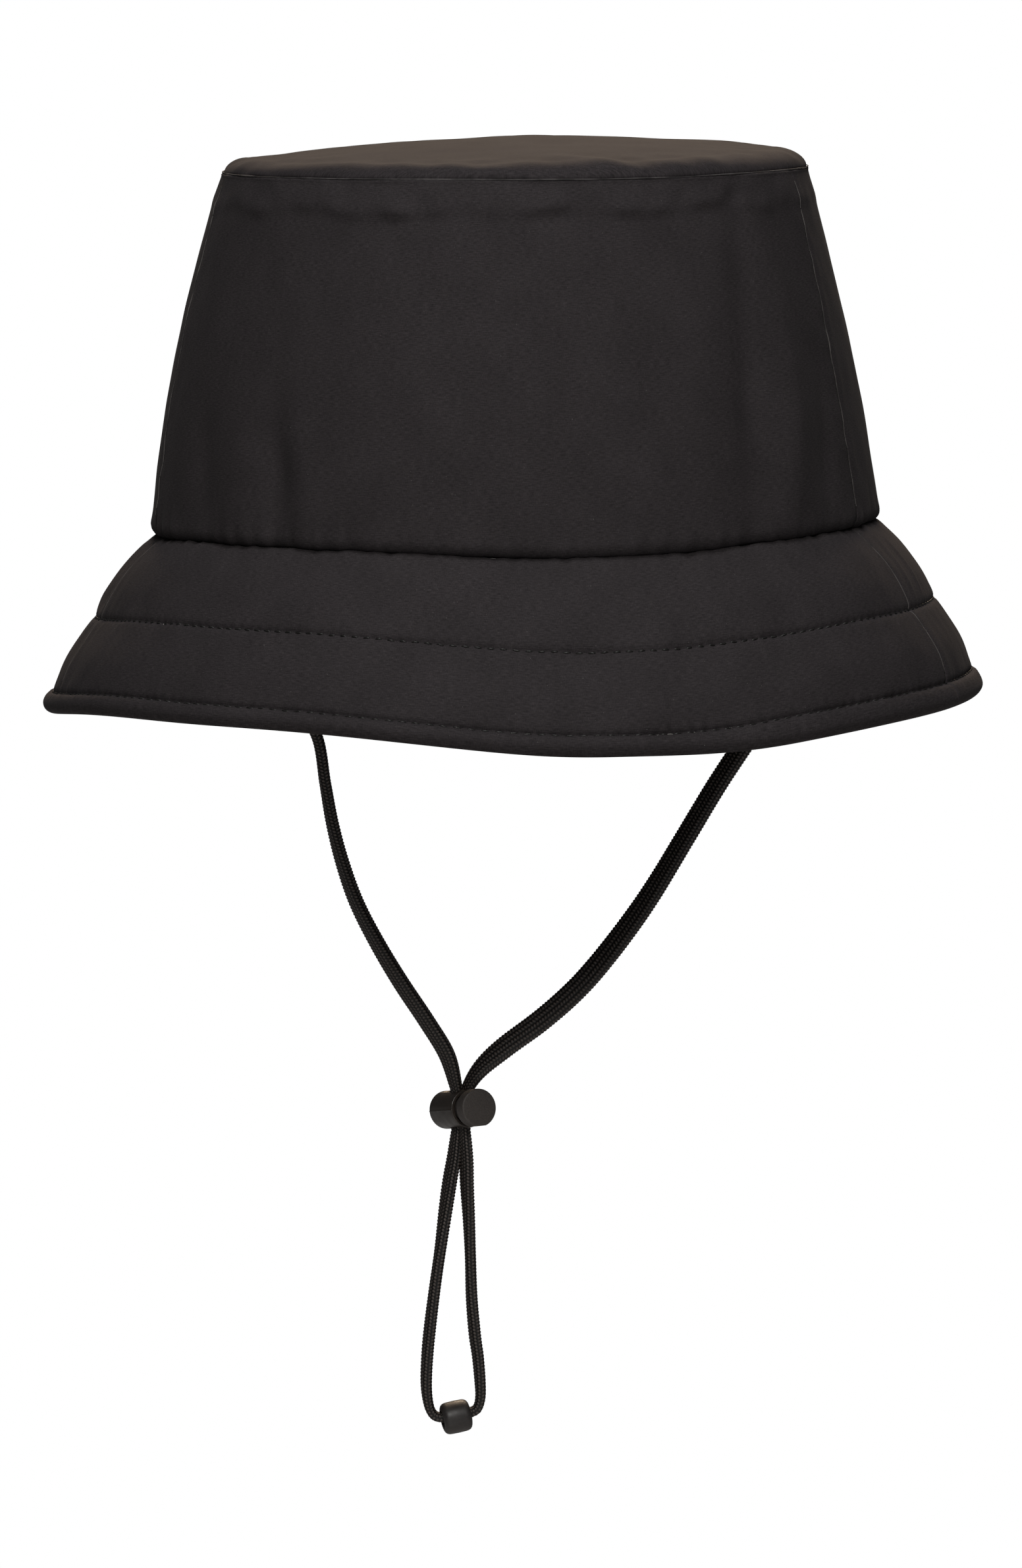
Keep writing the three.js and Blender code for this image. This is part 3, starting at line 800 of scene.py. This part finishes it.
def braid(name, route, twist, width, depth, material):
    """A flat braid along a route. twist holds pairs of (share of the length, degrees): at 0 the wide
    side faces sideways, at 90 it faces the front. width and depth hold such pairs of millimetres."""
    line = smooth_route([(x, 0.0, z) for x, z in route], BRAID_STEP)
    steps = len(line)
    share = np.linspace(0, 1, steps)
    line[:, 1] = along_share(share, depth)
    turn = np.radians(along_share(share, twist))
    wide = along_share(share, width) / CORD_WIDTH
    thick = np.clip(wide, 0.7, 1) ** 0.5
    tangent = unit(np.gradient(line, axis=0))
    sideways = unit(np.stack([-tangent[:, 2], 0 * share, tangent[:, 0]], axis=1))
    forward = np.cross(sideways, tangent)
    forward *= np.sign(-forward[:, 1])[:, None]
    cosine, sine = np.cos(turn)[:, None], np.sin(turn)[:, None]
    across = forward * cosine + sideways * sine
    through = sideways * cosine - forward * sine
    # The knots of neighbouring columns lean opposite ways and lie half a knot apart.
    place = np.arange(BRAID_SIDES) / BRAID_SIDES * BRAID_COLUMNS
    column = np.floor(place)
    inside = (place - column)[None, :]
    along = (share * (steps - 1) * BRAID_STEP)[:, None]
    odd = (column % 2)[None, :]
    slant = (0.35 - 0.7 * odd) * (inside - 0.5)
    beat = np.abs(np.sin(math.pi * (along / KNOT_PITCH + 0.5 * odd + slant)))
    knot = np.sin(math.pi * inside) ** 0.6 * (0.1 + 0.9 * beat**0.9)
    rise = KNOT_DEPTH * (knot - 0.85)
    flat_x, flat_y = braid_section()
    x = flat_x * wide[:, None] * (1 + rise / (CORD_WIDTH / 2))
    y = flat_y * thick[:, None] * (1 + rise / (CORD_THICK / 2))
    points = line[:, None] + x[..., None] * across[:, None] + y[..., None] * through[:, None]
    uv = np.stack(np.broadcast_arrays(place / 10, along / 10), axis=-1).reshape(-1, 2)
    faces = tube_faces(steps, BRAID_SIDES)
    obj = outwards(new_object(name, points.reshape(-1, 3), faces, material, uv))
    # The knot height also drives the cord material's painted shade in the gaps and painted highlights
    # on the knots.
    heights = obj.data.attributes.new("knot_height", "FLOAT", "POINT")
    heights.data.foreach_set("value", knot.reshape(-1).astype(np.float32))
    return obj, line * MM, line_length(line) * MM


# ---- Small moulded parts ----

def lathe(name, section, material, sides=96):
    """A closed round part about its own Y axis from a section of (radius, y) that starts and ends on
    the axis, or closes on itself."""
    section = np.array(section, float)
    on_axis = section[0, 0] < 1e-6
    turn = np.linspace(0, TURN, sides, endpoint=False)[:, None]
    r, y = (section[1:-1] if on_axis else section).T[:, None, :]
    points = np.stack([r * np.cos(turn), y + 0 * turn, r * np.sin(turn)], axis=-1)
    rows = points.shape[1]
    faces = loop_faces(sides, rows, True)
    points = points.reshape(-1, 3).tolist()
    if on_axis:
        # Quads from the last row back to the first give way to fans round the two ends.
        faces = [face for face in faces if (face[0] + 1) % rows]
        first, last = len(points), len(points) + 1
        points += [[0, section[0, 1], 0], [0, section[-1, 1], 0]]
        for k in range(sides):
            following = (k + 1) % sides
            faces.append((first, following * rows, k * rows))
            faces.append((last, k * rows + rows - 1, following * rows + rows - 1))
    return outwards(new_object(name, points, faces, material))


def rounded(corners, steps=6):
    """A section with some corners rounded: each corner is (r, y, size of the rounding or 0)."""
    out = []
    for index, (r, y, size) in enumerate(corners):
        if not size:
            out.append((r, y))
            continue
        here = np.array((r, y))
        before = np.array(corners[index - 1][:2]) - here
        after = np.array(corners[(index + 1) % len(corners)][:2]) - here
        a = here + before / np.linalg.norm(before) * size
        b = here + after / np.linalg.norm(after) * size
        for s in np.linspace(0, 1, steps):
            out.append(tuple((1 - s) ** 2 * a + 2 * s * (1 - s) * here + s * s * b))
    return out


def cut(obj, cutter):
    """Cuts one closed mesh from another and removes the cutter."""
    modifier = obj.modifiers.new("cut", "BOOLEAN")
    modifier.object = cutter
    modifier.operation = "DIFFERENCE"
    modifier.solver = "EXACT"
    graph = bpy.context.evaluated_depsgraph_get()
    done = bpy.data.meshes.new_from_object(obj.evaluated_get(graph))
    obj.modifiers.clear()
    obj.data = done
    bpy.data.objects.remove(cutter)
    return obj


def slot_cutter(width, y_from, y_to):
    """A long upright block with round ends, for the slot that both cords run through."""
    radius = width / 2
    half_turn = np.linspace(0, math.pi, 11)
    outline = [(radius * math.cos(start + angle), centre + radius * math.sin(start + angle))
               for centre, start in ((y_to - radius, 0), (y_from + radius, math.pi))
               for angle in half_turn]
    points = [(x, y, z) for z in (-20.0, 20.0) for x, y in outline]
    faces = tube_faces(2, len(outline))
    return outwards(new_object("cutter", points, faces, bpy.data.materials[0], smooth=False))


LOCK_AXES = Matrix.Rotation(LOCK_TURN, 3, "Z") @ Matrix.Rotation(-LOCK_TILT, 3, "X")


def parting_lines(obj, radius):
    """Raises the faint mould line along both sides of a round part about its Y axis."""
    height, width = 0.09, 0.16
    for vertex in obj.data.vertices:
        x, _, z = vertex.co / MM
        if math.hypot(x, z) > radius - 0.4:
            rise = height * math.exp(-((z / width) ** 2))
            vertex.co.x += math.copysign(rise, x) * MM


def make_lock(materials):
    back, rim, bore, radius, wall = 9.7, 3.2, 4.0, 5.0, 1.1
    barrel = lathe("lock_barrel", rounded([
        (0, back, 0), (radius, back, 0.9), (radius, -rim, 0.35), (bore, -rim, 0.25),
        (bore, back - wall, 0.3), (0, back - wall, 0),
    ]), materials["lock_plastic"], 192)
    parting_lines(barrel, radius)
    cut(barrel, slot_cutter(4.2, -2.4, 4.0))
    stem, stem_end, neck, face = 3.7, 4.4, 5.9, 9.4
    plunger = lathe("lock_button", rounded([
        (0, stem_end, 0), (stem, stem_end, 0.3), (stem, -neck, 0.2), (radius, -neck, 0.3),
        (radius, -face, 0.55), (0, -face, 0),
    ]), materials["button_plastic"], 192)
    flat = -4.72  # the button has a small flat along its underside
    for vertex in plunger.data.vertices:
        vertex.co.z = max(vertex.co.z, flat * MM)
    cut(plunger, slot_cutter(4.4, -2.9 - LOCK_TRAVEL, 4.0))
    turns, coil, wire = 3.0, 2.7, 0.25
    angle = np.linspace(0, TURN * turns, int(28 * turns))
    low, high = stem_end + 0.6, back - wall - 0.7
    helix = np.stack([coil * np.cos(angle), low + (high - low) * angle / angle[-1],
                      coil * np.sin(angle)], axis=1)
    spring = tube("lock_spring", helix, wire, materials["spring_steel"])
    for obj, body, node, slot in (
        (barrel, "cord_lock", "cord_lock_barrel", "lock_plastic"),
        (plunger, "lock_button", "cord_lock_plunger", "button_plastic"),
        (spring, "cord_lock", "cord_lock_spring", "spring_steel"),
    ):
        obj.data.transform(Matrix.Translation(Vector(LOCK_PLACE) * MM) @ LOCK_AXES.to_4x4())
        attach(obj, body, slot, node)
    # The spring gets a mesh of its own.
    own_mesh(spring)
    return barrel


def make_bead(materials):
    low, high = box_mm("end_bead")
    half, radius, bore, belly = 3.75, 4.15, 2.1, 0.12
    bead = lathe("cord_bead", rounded([
        (bore, half, 0.5), (radius, half, 1.7), (radius + belly, 0.25, 0.1),
        (radius + belly, -0.25, 0.1), (radius, -half, 1.7), (bore, -half, 0.5),
    ], 8), materials["bead_plastic"])
    lean, turn = math.radians(9), math.radians(102)
    tilt = Matrix.Rotation(-lean, 4, "Y") @ Matrix.Rotation(turn, 4, "Z")
    bead.data.transform(Matrix.Translation(Vector((low + high) / 2) * MM) @ tilt)
    return attach(bead, "chin_cord", "bead_plastic", "end_bead")


# ---- Materials ----

def node_material(name, **sockets):
    """A material with some plain values on its shader's sockets, its node tree and its shader."""
    material = bpy.data.materials.new(name)
    material.use_nodes = True
    shader = material.node_tree.nodes["Principled BSDF"]
    for key, value in sockets.items():
        color = isinstance(value, tuple)
        shader.inputs[key.replace("_", " ")].default_value = (*value, 1.0) if color else value
    return material, material.node_tree, shader


def add_node(tree, kind, **settings):
    node = tree.nodes.new(kind)
    for key, value in settings.items():
        setattr(node, key, value)
    return node


def stretched_noise(tree, source, scale, detail=2.0, rough=0.5):
    """Noise over a vector, stretched by its own scale on each axis."""
    mapping = add_node(tree, "ShaderNodeMapping")
    mapping.inputs["Scale"].default_value = scale
    tree.links.new(source, mapping.inputs["Vector"])
    noise = add_node(tree, "ShaderNodeTexNoise")
    noise.inputs["Scale"].default_value = 1.0
    noise.inputs["Detail"].default_value = detail
    noise.inputs["Roughness"].default_value = rough
    tree.links.new(mapping.outputs["Vector"], noise.inputs["Vector"])
    return noise.outputs["Fac"]


def ramp(tree, value, low, high, from_color, to_color):
    node = add_node(tree, "ShaderNodeValToRGB")
    node.color_ramp.elements[0].position = low
    node.color_ramp.elements[1].position = high
    node.color_ramp.elements[0].color = (*from_color, 1)
    node.color_ramp.elements[1].color = (*to_color, 1)
    tree.links.new(value, node.inputs["Fac"])
    return node.outputs["Color"]


def mix_colors(tree, kind, factor, first, second):
    node = add_node(tree, "ShaderNodeMix", data_type="RGBA", blend_type=kind)
    if isinstance(factor, (int, float)):
        node.inputs["Factor"].default_value = factor
    else:
        tree.links.new(factor, node.inputs["Factor"])
    for value, socket in ((first, node.inputs["A"]), (second, node.inputs["B"])):
        if isinstance(value, tuple):
            socket.default_value = (*value, 1)
        else:
            tree.links.new(value, socket)
    return node.outputs["Result"]


def shaded(tree, base, amount, value, low, high, dark, light):
    """A colour made darker and lighter by an amount, where a value runs from low to high."""
    grey = ramp(tree, value, low, high, (dark,) * 3, (light,) * 3)
    return mix_colors(tree, "MULTIPLY", amount, base, grey)


def on_cloth(tree):
    """Coordinates along the cloth or cord, in centimetres."""
    return add_node(tree, "ShaderNodeUVMap", uv_map="cloth").outputs["UV"]


def in_metres(tree):
    """Coordinates of the object, in metres."""
    return add_node(tree, "ShaderNodeTexCoord").outputs["Object"]


def finished(made, color, height=None, strength=0.0, distance=0.0):
    """The material with its colour, and with fine relief where it has a height."""
    material, tree, shader = made
    tree.links.new(color, shader.inputs["Base Color"])
    if height:
        node = add_node(tree, "ShaderNodeBump")
        node.inputs["Strength"].default_value = strength
        node.inputs["Distance"].default_value = distance
        tree.links.new(height, node.inputs["Height"])
        tree.links.new(node.outputs["Normal"], shader.inputs["Normal"])
    return material


def woven(name, dark, light, speck, roughness, sheen):
    """Fine cloth: crosswise streaks, upright threads and a few pale specks of lint."""
    made = node_material(name, Roughness=roughness, Specular_IOR_Level=0.08, Sheen_Weight=sheen,
                         Sheen_Roughness=0.4, Sheen_Tint=(0.9, 0.86, 0.82))
    tree = made[1]
    coordinates = on_cloth(tree)
    streak = stretched_noise(tree, coordinates, (6.0, 42.0, 1.0), 3.0, 0.6)
    thread = stretched_noise(tree, coordinates, (46.0, 14.0, 1.0), 1.0)
    patch = stretched_noise(tree, coordinates, (0.7, 0.7, 1.0), 2.0)
    lint = stretched_noise(tree, coordinates, (26.0, 30.0, 1.0), 1.0)
    base = ramp(tree, streak, 0.3, 0.72, dark, light)
    base = shaded(tree, base, 0.5, thread, 0.3, 0.7, 0.6, 1.3)
    base = shaded(tree, base, 0.6, patch, 0.3, 0.7, 0.85, 1.15)
    specks = ramp(tree, lint, 0.765, 0.82, (0, 0, 0), (1, 1, 1))
    base = mix_colors(tree, "MIX", specks, base, speck)
    return finished(made, base, mix_colors(tree, "MIX", 0.45, streak, thread), 0.35, 0.00012)


def braided(name):
    """Glossy fibre coloured by knot height: painted highlights make the knot crowns pale, and painted
    shade makes the gaps between them almost black.
    """
    made = node_material(name, Roughness=0.5, Specular_IOR_Level=0.3)
    tree = made[1]
    height = add_node(tree, "ShaderNodeAttribute", attribute_name="knot_height").outputs["Fac"]
    fibre = stretched_noise(tree, on_cloth(tree), (60.0, 24.0, 1.0), 2.0)
    # Painted shade in the gaps and painted highlights on the knot crowns, from the knot height.
    base = ramp(tree, height, 0.4, 0.95, (0.0018, 0.0014, 0.0012), (0.078, 0.064, 0.057))
    return finished(made, shaded(tree, base, 0.8, fibre, 0.3, 0.75, 0.5, 1.5), fibre, 0.4, 0.00008)


def webbing(name):
    """Tightly woven tape of dull black fibre."""
    made = node_material(name, Roughness=0.6, Specular_IOR_Level=0.3)
    tree = made[1]
    fibre = stretched_noise(tree, on_cloth(tree), (60.0, 24.0, 1.0), 2.0)
    base = ramp(tree, fibre, 0.3, 0.75, (0.005, 0.0045, 0.0045), (0.022, 0.019, 0.018))
    return finished(made, base, fibre, 0.4, 0.00008)


def moulded(name, color, roughness, grain, grain_size):
    """Plastic with a fine moulded grain and slightly worn, uneven gloss."""
    made = node_material(name, Roughness=roughness)
    _, tree, shader = made
    coordinates = in_metres(tree)
    fine = stretched_noise(tree, coordinates, (grain_size,) * 3, 2.0)
    broad = stretched_noise(tree, coordinates, (420.0,) * 3, 2.0)
    base = ramp(tree, fine, 0.35, 0.75, color, tuple(value * 1.5 for value in color))
    gloss = ramp(tree, broad, 0.3, 0.7, (roughness - 0.07,) * 3, (roughness + 0.1,) * 3)
    tree.links.new(gloss, shader.inputs["Roughness"])
    return finished(made, base, fine, grain, 0.00006)


def steel(name):
    """Drawn wire: bright metal with fine streaks."""
    made = node_material(name, Metallic=1.0, Roughness=0.3)
    tree = made[1]
    streak = stretched_noise(tree, in_metres(tree), (3000.0, 600.0, 3000.0), 2.0)
    base = ramp(tree, streak, 0.3, 0.7, (0.48, 0.48, 0.5), (0.68, 0.68, 0.7))
    return finished(made, base, streak, 0.3, 0.00003)


def felted(name):
    """Soft nonwoven padding: pale tangled fibres."""
    made = node_material(name, Roughness=0.95)
    tree = made[1]
    coordinates = in_metres(tree)
    fibre = stretched_noise(tree, coordinates, (1800.0,) * 3, 4.0, 0.7)
    clump = stretched_noise(tree, coordinates, (150.0,) * 3, 2.0)
    base = ramp(tree, fibre, 0.3, 0.7, (0.17, 0.165, 0.16), (0.32, 0.31, 0.30))
    return finished(made, shaded(tree, base, 0.5, clump, 0.3, 0.7, 0.8, 1.2), fibre, 0.8, 0.0002)


def seam_highlight(name, color):
    """Painted highlight for a seam: a pale colour, broken in places by noise, that stands in for the
    light caught on the cloth's folded edge.
    """
    made = node_material(name, Roughness=0.8, Specular_IOR_Level=0.2)
    tree = made[1]
    # Painted highlight: noise breaks the pale line between full colour and about a third of it.
    patchy_highlight = stretched_noise(tree, in_metres(tree), (160.0,) * 3, 3.0, 0.6)
    return finished(made, ramp(tree, patchy_highlight, 0.38, 0.62, tuple(value * 0.35 for value in color), color))


def twisted(name):
    """Black sewing thread with the twist of its strands."""
    made = node_material(name, Roughness=0.45, Specular_IOR_Level=0.25)
    tree = made[1]
    twist = stretched_noise(tree, in_metres(tree), (3000.0,) * 3, 1.0)
    base = ramp(tree, twist, 0.3, 0.8, (0.004, 0.004, 0.004), (0.014, 0.013, 0.012))
    return finished(made, base, twist, 0.5, 0.00005)


def make_materials():
    return {
        "shell": woven("shell_fabric", (0.0145, 0.0127, 0.0135), (0.0320, 0.0280, 0.0298),
                       (0.12, 0.115, 0.112), 0.85, 0.008),
        "lining": woven("lining_fabric", (0.010, 0.009, 0.0095), (0.018, 0.0165, 0.0175),
                        (0.04, 0.04, 0.04), 0.6, 0.08),
        "sweatband": woven("sweatband_fabric", (0.008, 0.0075, 0.008), (0.014, 0.013, 0.0135),
                           (0.05, 0.05, 0.05), 0.9, 0.25),
        "braid": braided("cord_braid"),
        "webbing": webbing("tab_webbing"),
        "thread": twisted("stitch_thread"),
        # Pale seam materials: painted highlights standing in for light caught on the seams' folded
        # edges.
        "top_seam_edge": seam_highlight("top_seam_edge", (0.065, 0.060, 0.060)),
        "side_seam_edge": seam_highlight("side_seam_edge", (0.070, 0.064, 0.062)),
        "padding": felted("brim_padding"),
        "spring_steel": steel("spring_steel"),
        "lock_plastic": moulded("lock_plastic", (0.018, 0.0138, 0.0112), 0.38, 0.25, 1500.0),
        "button_plastic": moulded("button_plastic", (0.031, 0.026, 0.0235), 0.6, 0.9, 2600.0),
        "bead_plastic": moulded("bead_plastic", (0.0155, 0.0132, 0.0128), 0.5, 0.25, 1500.0),
    }


# ---- The hat ----


def make_crown(materials):
    for (name, t_from, t_to), columns in zip(front_and_back(PANEL_GAP / CROWN_BASE), (240, 330)):
        panel, grid = crown_panel(f"crown_{name}", t_from, t_to, columns, materials["shell"])
        on_hat(panel, "shell_fabric", f"crown_side_{name}")
    tip = tip_object("crown_top", 0, materials["shell"])
    on_hat(tip, "shell_fabric", "crown_tip")
    make_crown_seam_highlights(materials)


def make_crown_seam_highlights(materials):
    """Thin tubes along the crown's seams, coloured as painted highlights: their pale lines stand in for
    light caught on the seams' folded edges.
    """
    t = np.linspace(-math.pi, math.pi, 900, endpoint=False)
    line = on_oval(wall(CROWN_HEIGHT) + 0.02 + 0 * t, CROWN_HEIGHT + 0.05 + 0 * t, t)
    radius = 0.17 + 0.05 * ripple(line, 9, 71)
    edge = tube("crown_top_seam_highlight", line, radius, materials["top_seam_edge"], closed=True)
    on_hat(edge, "shell_fabric")
    # The side seams get the same painted highlight.
    z = np.linspace(5.0, CROWN_HEIGHT - 3.0, 240)
    for side, seam in SEAMS:
        t = seam + 0 * z
        line = on_oval(wall(z) + crown_relief(t, z) + 0.04, z, t)
        radius = 0.14 + 0.05 * ripple(line, 9, 72)
        edge = tube(f"crown_side_seam_highlight_{side}", line, radius, materials["side_seam_edge"])
        on_hat(edge, "shell_fabric")


def make_brim(materials):
    pad = make_pad(materials["padding"])
    on_hat(pad, "brim_padding", "brim_padding")
    for side, layer in ((1, "top"), (-1, "under")):
        for (name, t_from, t_to), columns in zip(front_and_back(PANEL_GAP / BRIM_RADIUS), (440, 620)):
            panel, grid = brim_panel(f"brim_{layer}_cloth_{name}", side, t_from, t_to, columns,
                                     materials["shell"])
            on_hat(panel, "shell_fabric", f"brim_{layer}_{name}")
        for number, line in enumerate(STITCH_LINES):
            row = stitches(f"stitches_{layer}_{number + 1}", side, line, materials["thread"])
            on_hat(row, "shell_fabric")
    # Thin pale tubes along the brim's side seams: painted highlights for light caught on the seams.
    for side, seam in SEAMS:
        outer, run, _ = brim_surface(np.array([[seam]]), 1)
        line = outer[0][(run[0] > 2) & (run[0] < STITCH_LINES[1] - 2)]
        edge = tube(f"brim_seam_highlight_{side}", line, 0.13, materials["side_seam_edge"])
        on_hat(edge, "shell_fabric")


def make_inside(materials):
    low, high = 3.0, CROWN_HEIGHT - 2.0
    panels = zip(front_and_back(LINING_GAP / CROWN_BASE), (160, 230), (51, 52))
    for (name, t_from, t_to), columns, seed in panels:
        panel, grid = inside_layer(f"lining_{name}", low, high, LINING_DEPTH, 0.7, t_from, t_to,
                                   columns, 60, materials["lining"], seed)
        on_hat(panel, "lining_fabric", f"lining_side_{name}")
    top = tip_object("lining_top", TIP_LINING_DROP, materials["lining"])
    on_hat(top, "lining_fabric", "lining_tip")
    band, grid = inside_layer("sweatband_cloth", -2.2, SWEATBAND_HIGH[2], SWEATBAND_DEPTH,
                              SWEATBAND_THICK, -math.pi, math.pi, 360, 40, materials["sweatband"], 53,
                              around=True)
    on_hat(band, "sweatband_fabric", "sweatband")
    for number, z in enumerate((1.2, SWEATBAND_HIGH[2] - 1.6)):
        row = band_stitches(f"sweatband_stitches_{number + 1}", z, materials["thread"])
        on_hat(row, "sweatband_fabric")


def band_stitches(name, z, material):
    """A row of short threads round the inside of the sweatband."""
    inside = wall(z) - SWEATBAND_DEPTH - SWEATBAND_THICK - 0.05
    arch = np.array([-0.25, 0.05, 0.12, 0.05, -0.25])
    count = int(TURN * inside / STITCH_PITCH)
    made = []
    for number in range(count):
        t = TURN * (number + np.linspace(-0.36, 0.36, 5)) / count
        made.append(tube(name, on_oval(inside - arch, z + 0 * t, t), 0.2, material, 6))
    return joined(name, made)


TAB_WIDTH = 10.0
TAB_THICK = 1.3
TAB_FOOT = 87.3  # from the middle of the hat to the tab's lower end
TAB_LEAN = math.radians(6.3)


def make_tab(side, name, materials):
    """The webbing tab that a cord end is sewn to, with two rows of stitches across it."""
    low, high = box_mm(f"cord_tab_{name}")
    foot = side * TAB_FOOT
    height = (high[2] - low[2]) / math.cos(TAB_LEAN) - 0.6
    rows, sides = 40, 48
    share = np.linspace(0, 1, rows)
    y, x = flat_round(np.linspace(0, TURN, sides, endpoint=False), TAB_WIDTH, TAB_THICK, 0.3, 0.6)
    rib = 1 + 0.06 * np.cos(share * height * TURN / 0.9)
    end = np.sqrt(np.clip(np.minimum(share, 1 - share) / 0.03, 0.15, 1))
    across = x[None, :] * (rib * end)[:, None]
    up = (share * height)[:, None] + 0 * across
    y = y + 0 * across
    points = np.stack([foot + across - side * up * math.sin(TAB_LEAN), y,
                       low[2] + up * math.cos(TAB_LEAN)], axis=-1)
    uv = np.stack([y / 10, up / 10], axis=-1).reshape(-1, 2)
    tab = outwards(new_object(f"tab_{name}", points.reshape(-1, 3), tube_faces(rows, sides),
                              materials["webbing"], uv))
    on_hat(tab, "tab_webbing", f"cord_tab_{name}")
    threads = []
    reach = 0.8  # half the length of a stitch
    run = np.linspace(-reach, reach, 5)
    for rise in (height * 0.3, height * 0.72):
        inner = foot - side * (TAB_THICK / 2 + 0.05 + rise * math.sin(TAB_LEAN))
        for number in range(4):
            middle = (number - 1.5) * 2.3
            line = np.stack([inner + 0.12 * side * (run / reach) ** 2, middle + run,
                             low[2] + rise * math.cos(TAB_LEAN) + 0 * run], axis=1)
            threads.append(tube("thread", line, 0.18, materials["thread"], 6))
    on_hat(joined(f"tab_stitches_{name}", threads), "tab_webbing")


def make_cords(materials):
    turns = {
        "chin_cord_left": [(0, 0), (0.4, 2), (0.62, 24), (0.8, 36), (1, 36)],
        "chin_cord_right": [(0, 0), (0.1, 10), (0.3, 44), (0.55, 47), (0.75, 68), (0.88, 58), (1, 30)],
        "cord_loop_left": [(0, 20), (0.25, 22), (0.45, 4), (0.7, 12), (0.85, 8), (1, 0)],
        "cord_loop_right": [(0, 20), (0.2, 20), (0.45, 2), (0.7, 14), (0.85, 8), (1, 0)],
    }
    gathered = [(0, 0.9), (0.03, 1.2), (0.07, 6), (0.93, 6), (1, 3.4)]
    looped = [(0, 3.4), (0.12, 5.8), (0.88, 5.4), (0.96, 3.6), (1, 3.4)]
    depths = {  # the loop's two stretches pass behind and in front of each other in the lock
        "cord_loop_left": [(0, 1.9), (0.12, 1.9), (0.35, 0), (1, 0)],
        "cord_loop_right": [(0, -1.1), (0.12, -1.1), (0.35, 0), (1, 0)],
    }
    made = {}
    for name, route in ROUTES.items():
        chin = name.startswith("chin")
        obj, path, length = braid(f"{name}_braid", route, turns[name], gathered if chin else looped,
                                  depths.get(name, [(0, 0), (1, 0)]), materials["braid"])
        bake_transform(obj)
        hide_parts(name)
        made[name] = (obj, path, length)
    return made


# ---- Studio ----

def area_light(name, place, size, power, color):
    """A rectangular lamp that faces the hat's origin."""
    data = bpy.data.lights.new(name, "AREA")
    data.shape = "RECTANGLE"
    data.size, data.size_y = size
    data.energy = power
    data.color = color
    light = linked(name, data)
    light.location = place
    light.rotation_euler = Vector(place).to_track_quat("Z", "Y").to_euler()


WORLD_LIGHT = 0.06
FLOOR_GLOW = 0.2
FLOOR_LEVEL = -2600  # the hat hangs high above it, so that it can be looked at from below
FLOOR_HALF = 20000
WARM = (1.0, 0.77, 0.56)
SOFT_WARM = (1.0, 0.985, 0.955)
PLAIN = (1.0, 1.0, 1.0)
LIGHTS = (  # name, place in metres, size in metres, watts, colour
    ("front_key", (0.0, -2.0, 1.3), (0.6, 0.6), 31, SOFT_WARM),
    ("overhead", (0.0, -0.5, 1.5), (0.5, 0.8), 15, PLAIN),
    ("top_softbox", (0.1, 1.3, 1.0), (0.7, 0.6), 17.5, WARM),
    ("low_fill", (0.0, -1.6, -0.9), (1.4, 0.4), 4, SOFT_WARM),
)


def white_to_camera(tree, light, white):
    """A shader that the camera sees as white, and everything else as its own light."""
    path = add_node(tree, "ShaderNodeLightPath")
    mix = add_node(tree, "ShaderNodeMixShader")
    tree.links.new(path.outputs["Is Camera Ray"], mix.inputs["Fac"])
    tree.links.new(light, mix.inputs[1])
    tree.links.new(white, mix.inputs[2])
    return mix.outputs["Shader"]


def make_world():
    world = bpy.data.worlds.new("studio")
    bpy.context.scene.world = world
    world.use_nodes = True
    tree = world.node_tree
    light = tree.nodes["Background"]
    light.inputs["Color"].default_value = (1, 0.98, 0.97, 1)
    light.inputs["Strength"].default_value = WORLD_LIGHT
    white = add_node(tree, "ShaderNodeBackground")
    white.inputs["Color"].default_value = (1, 1, 1, 1)
    shader = white_to_camera(tree, light.outputs["Background"], white.outputs["Background"])
    tree.links.new(shader, tree.nodes["World Output"].inputs["Surface"])


def make_floor():
    material, tree, shader = node_material("floor", Roughness=0.9, Base_Color=(0.86, 0.82, 0.78))
    shader.inputs["Emission Color"].default_value = (1, 1, 1, 1)
    shader.inputs["Emission Strength"].default_value = FLOOR_GLOW
    white = add_node(tree, "ShaderNodeEmission")
    seen = white_to_camera(tree, shader.outputs["BSDF"], white.outputs["Emission"])
    tree.links.new(seen, tree.nodes["Material Output"].inputs["Surface"])
    corners = ((-1, -1), (1, -1), (1, 1), (-1, 1))
    points = [(x * FLOOR_HALF, y * FLOOR_HALF, FLOOR_LEVEL) for x, y in corners]
    new_object("floor", points, [(0, 1, 2, 3)], material, smooth=False)


def make_studio():
    bpy.context.scene.view_settings.view_transform = "Standard"
    make_world()
    make_floor()
    for light in LIGHTS:
        area_light(*light)


# ---- Build ----

make_camera()
parts = make_materials()
cords = make_cords(parts)
barrel = make_lock(parts)
bead = make_bead(parts)
make_crown(parts)
make_brim(parts)
make_inside(parts)
make_tab(-1, "left", parts)
make_tab(1, "right", parts)
make_studio()
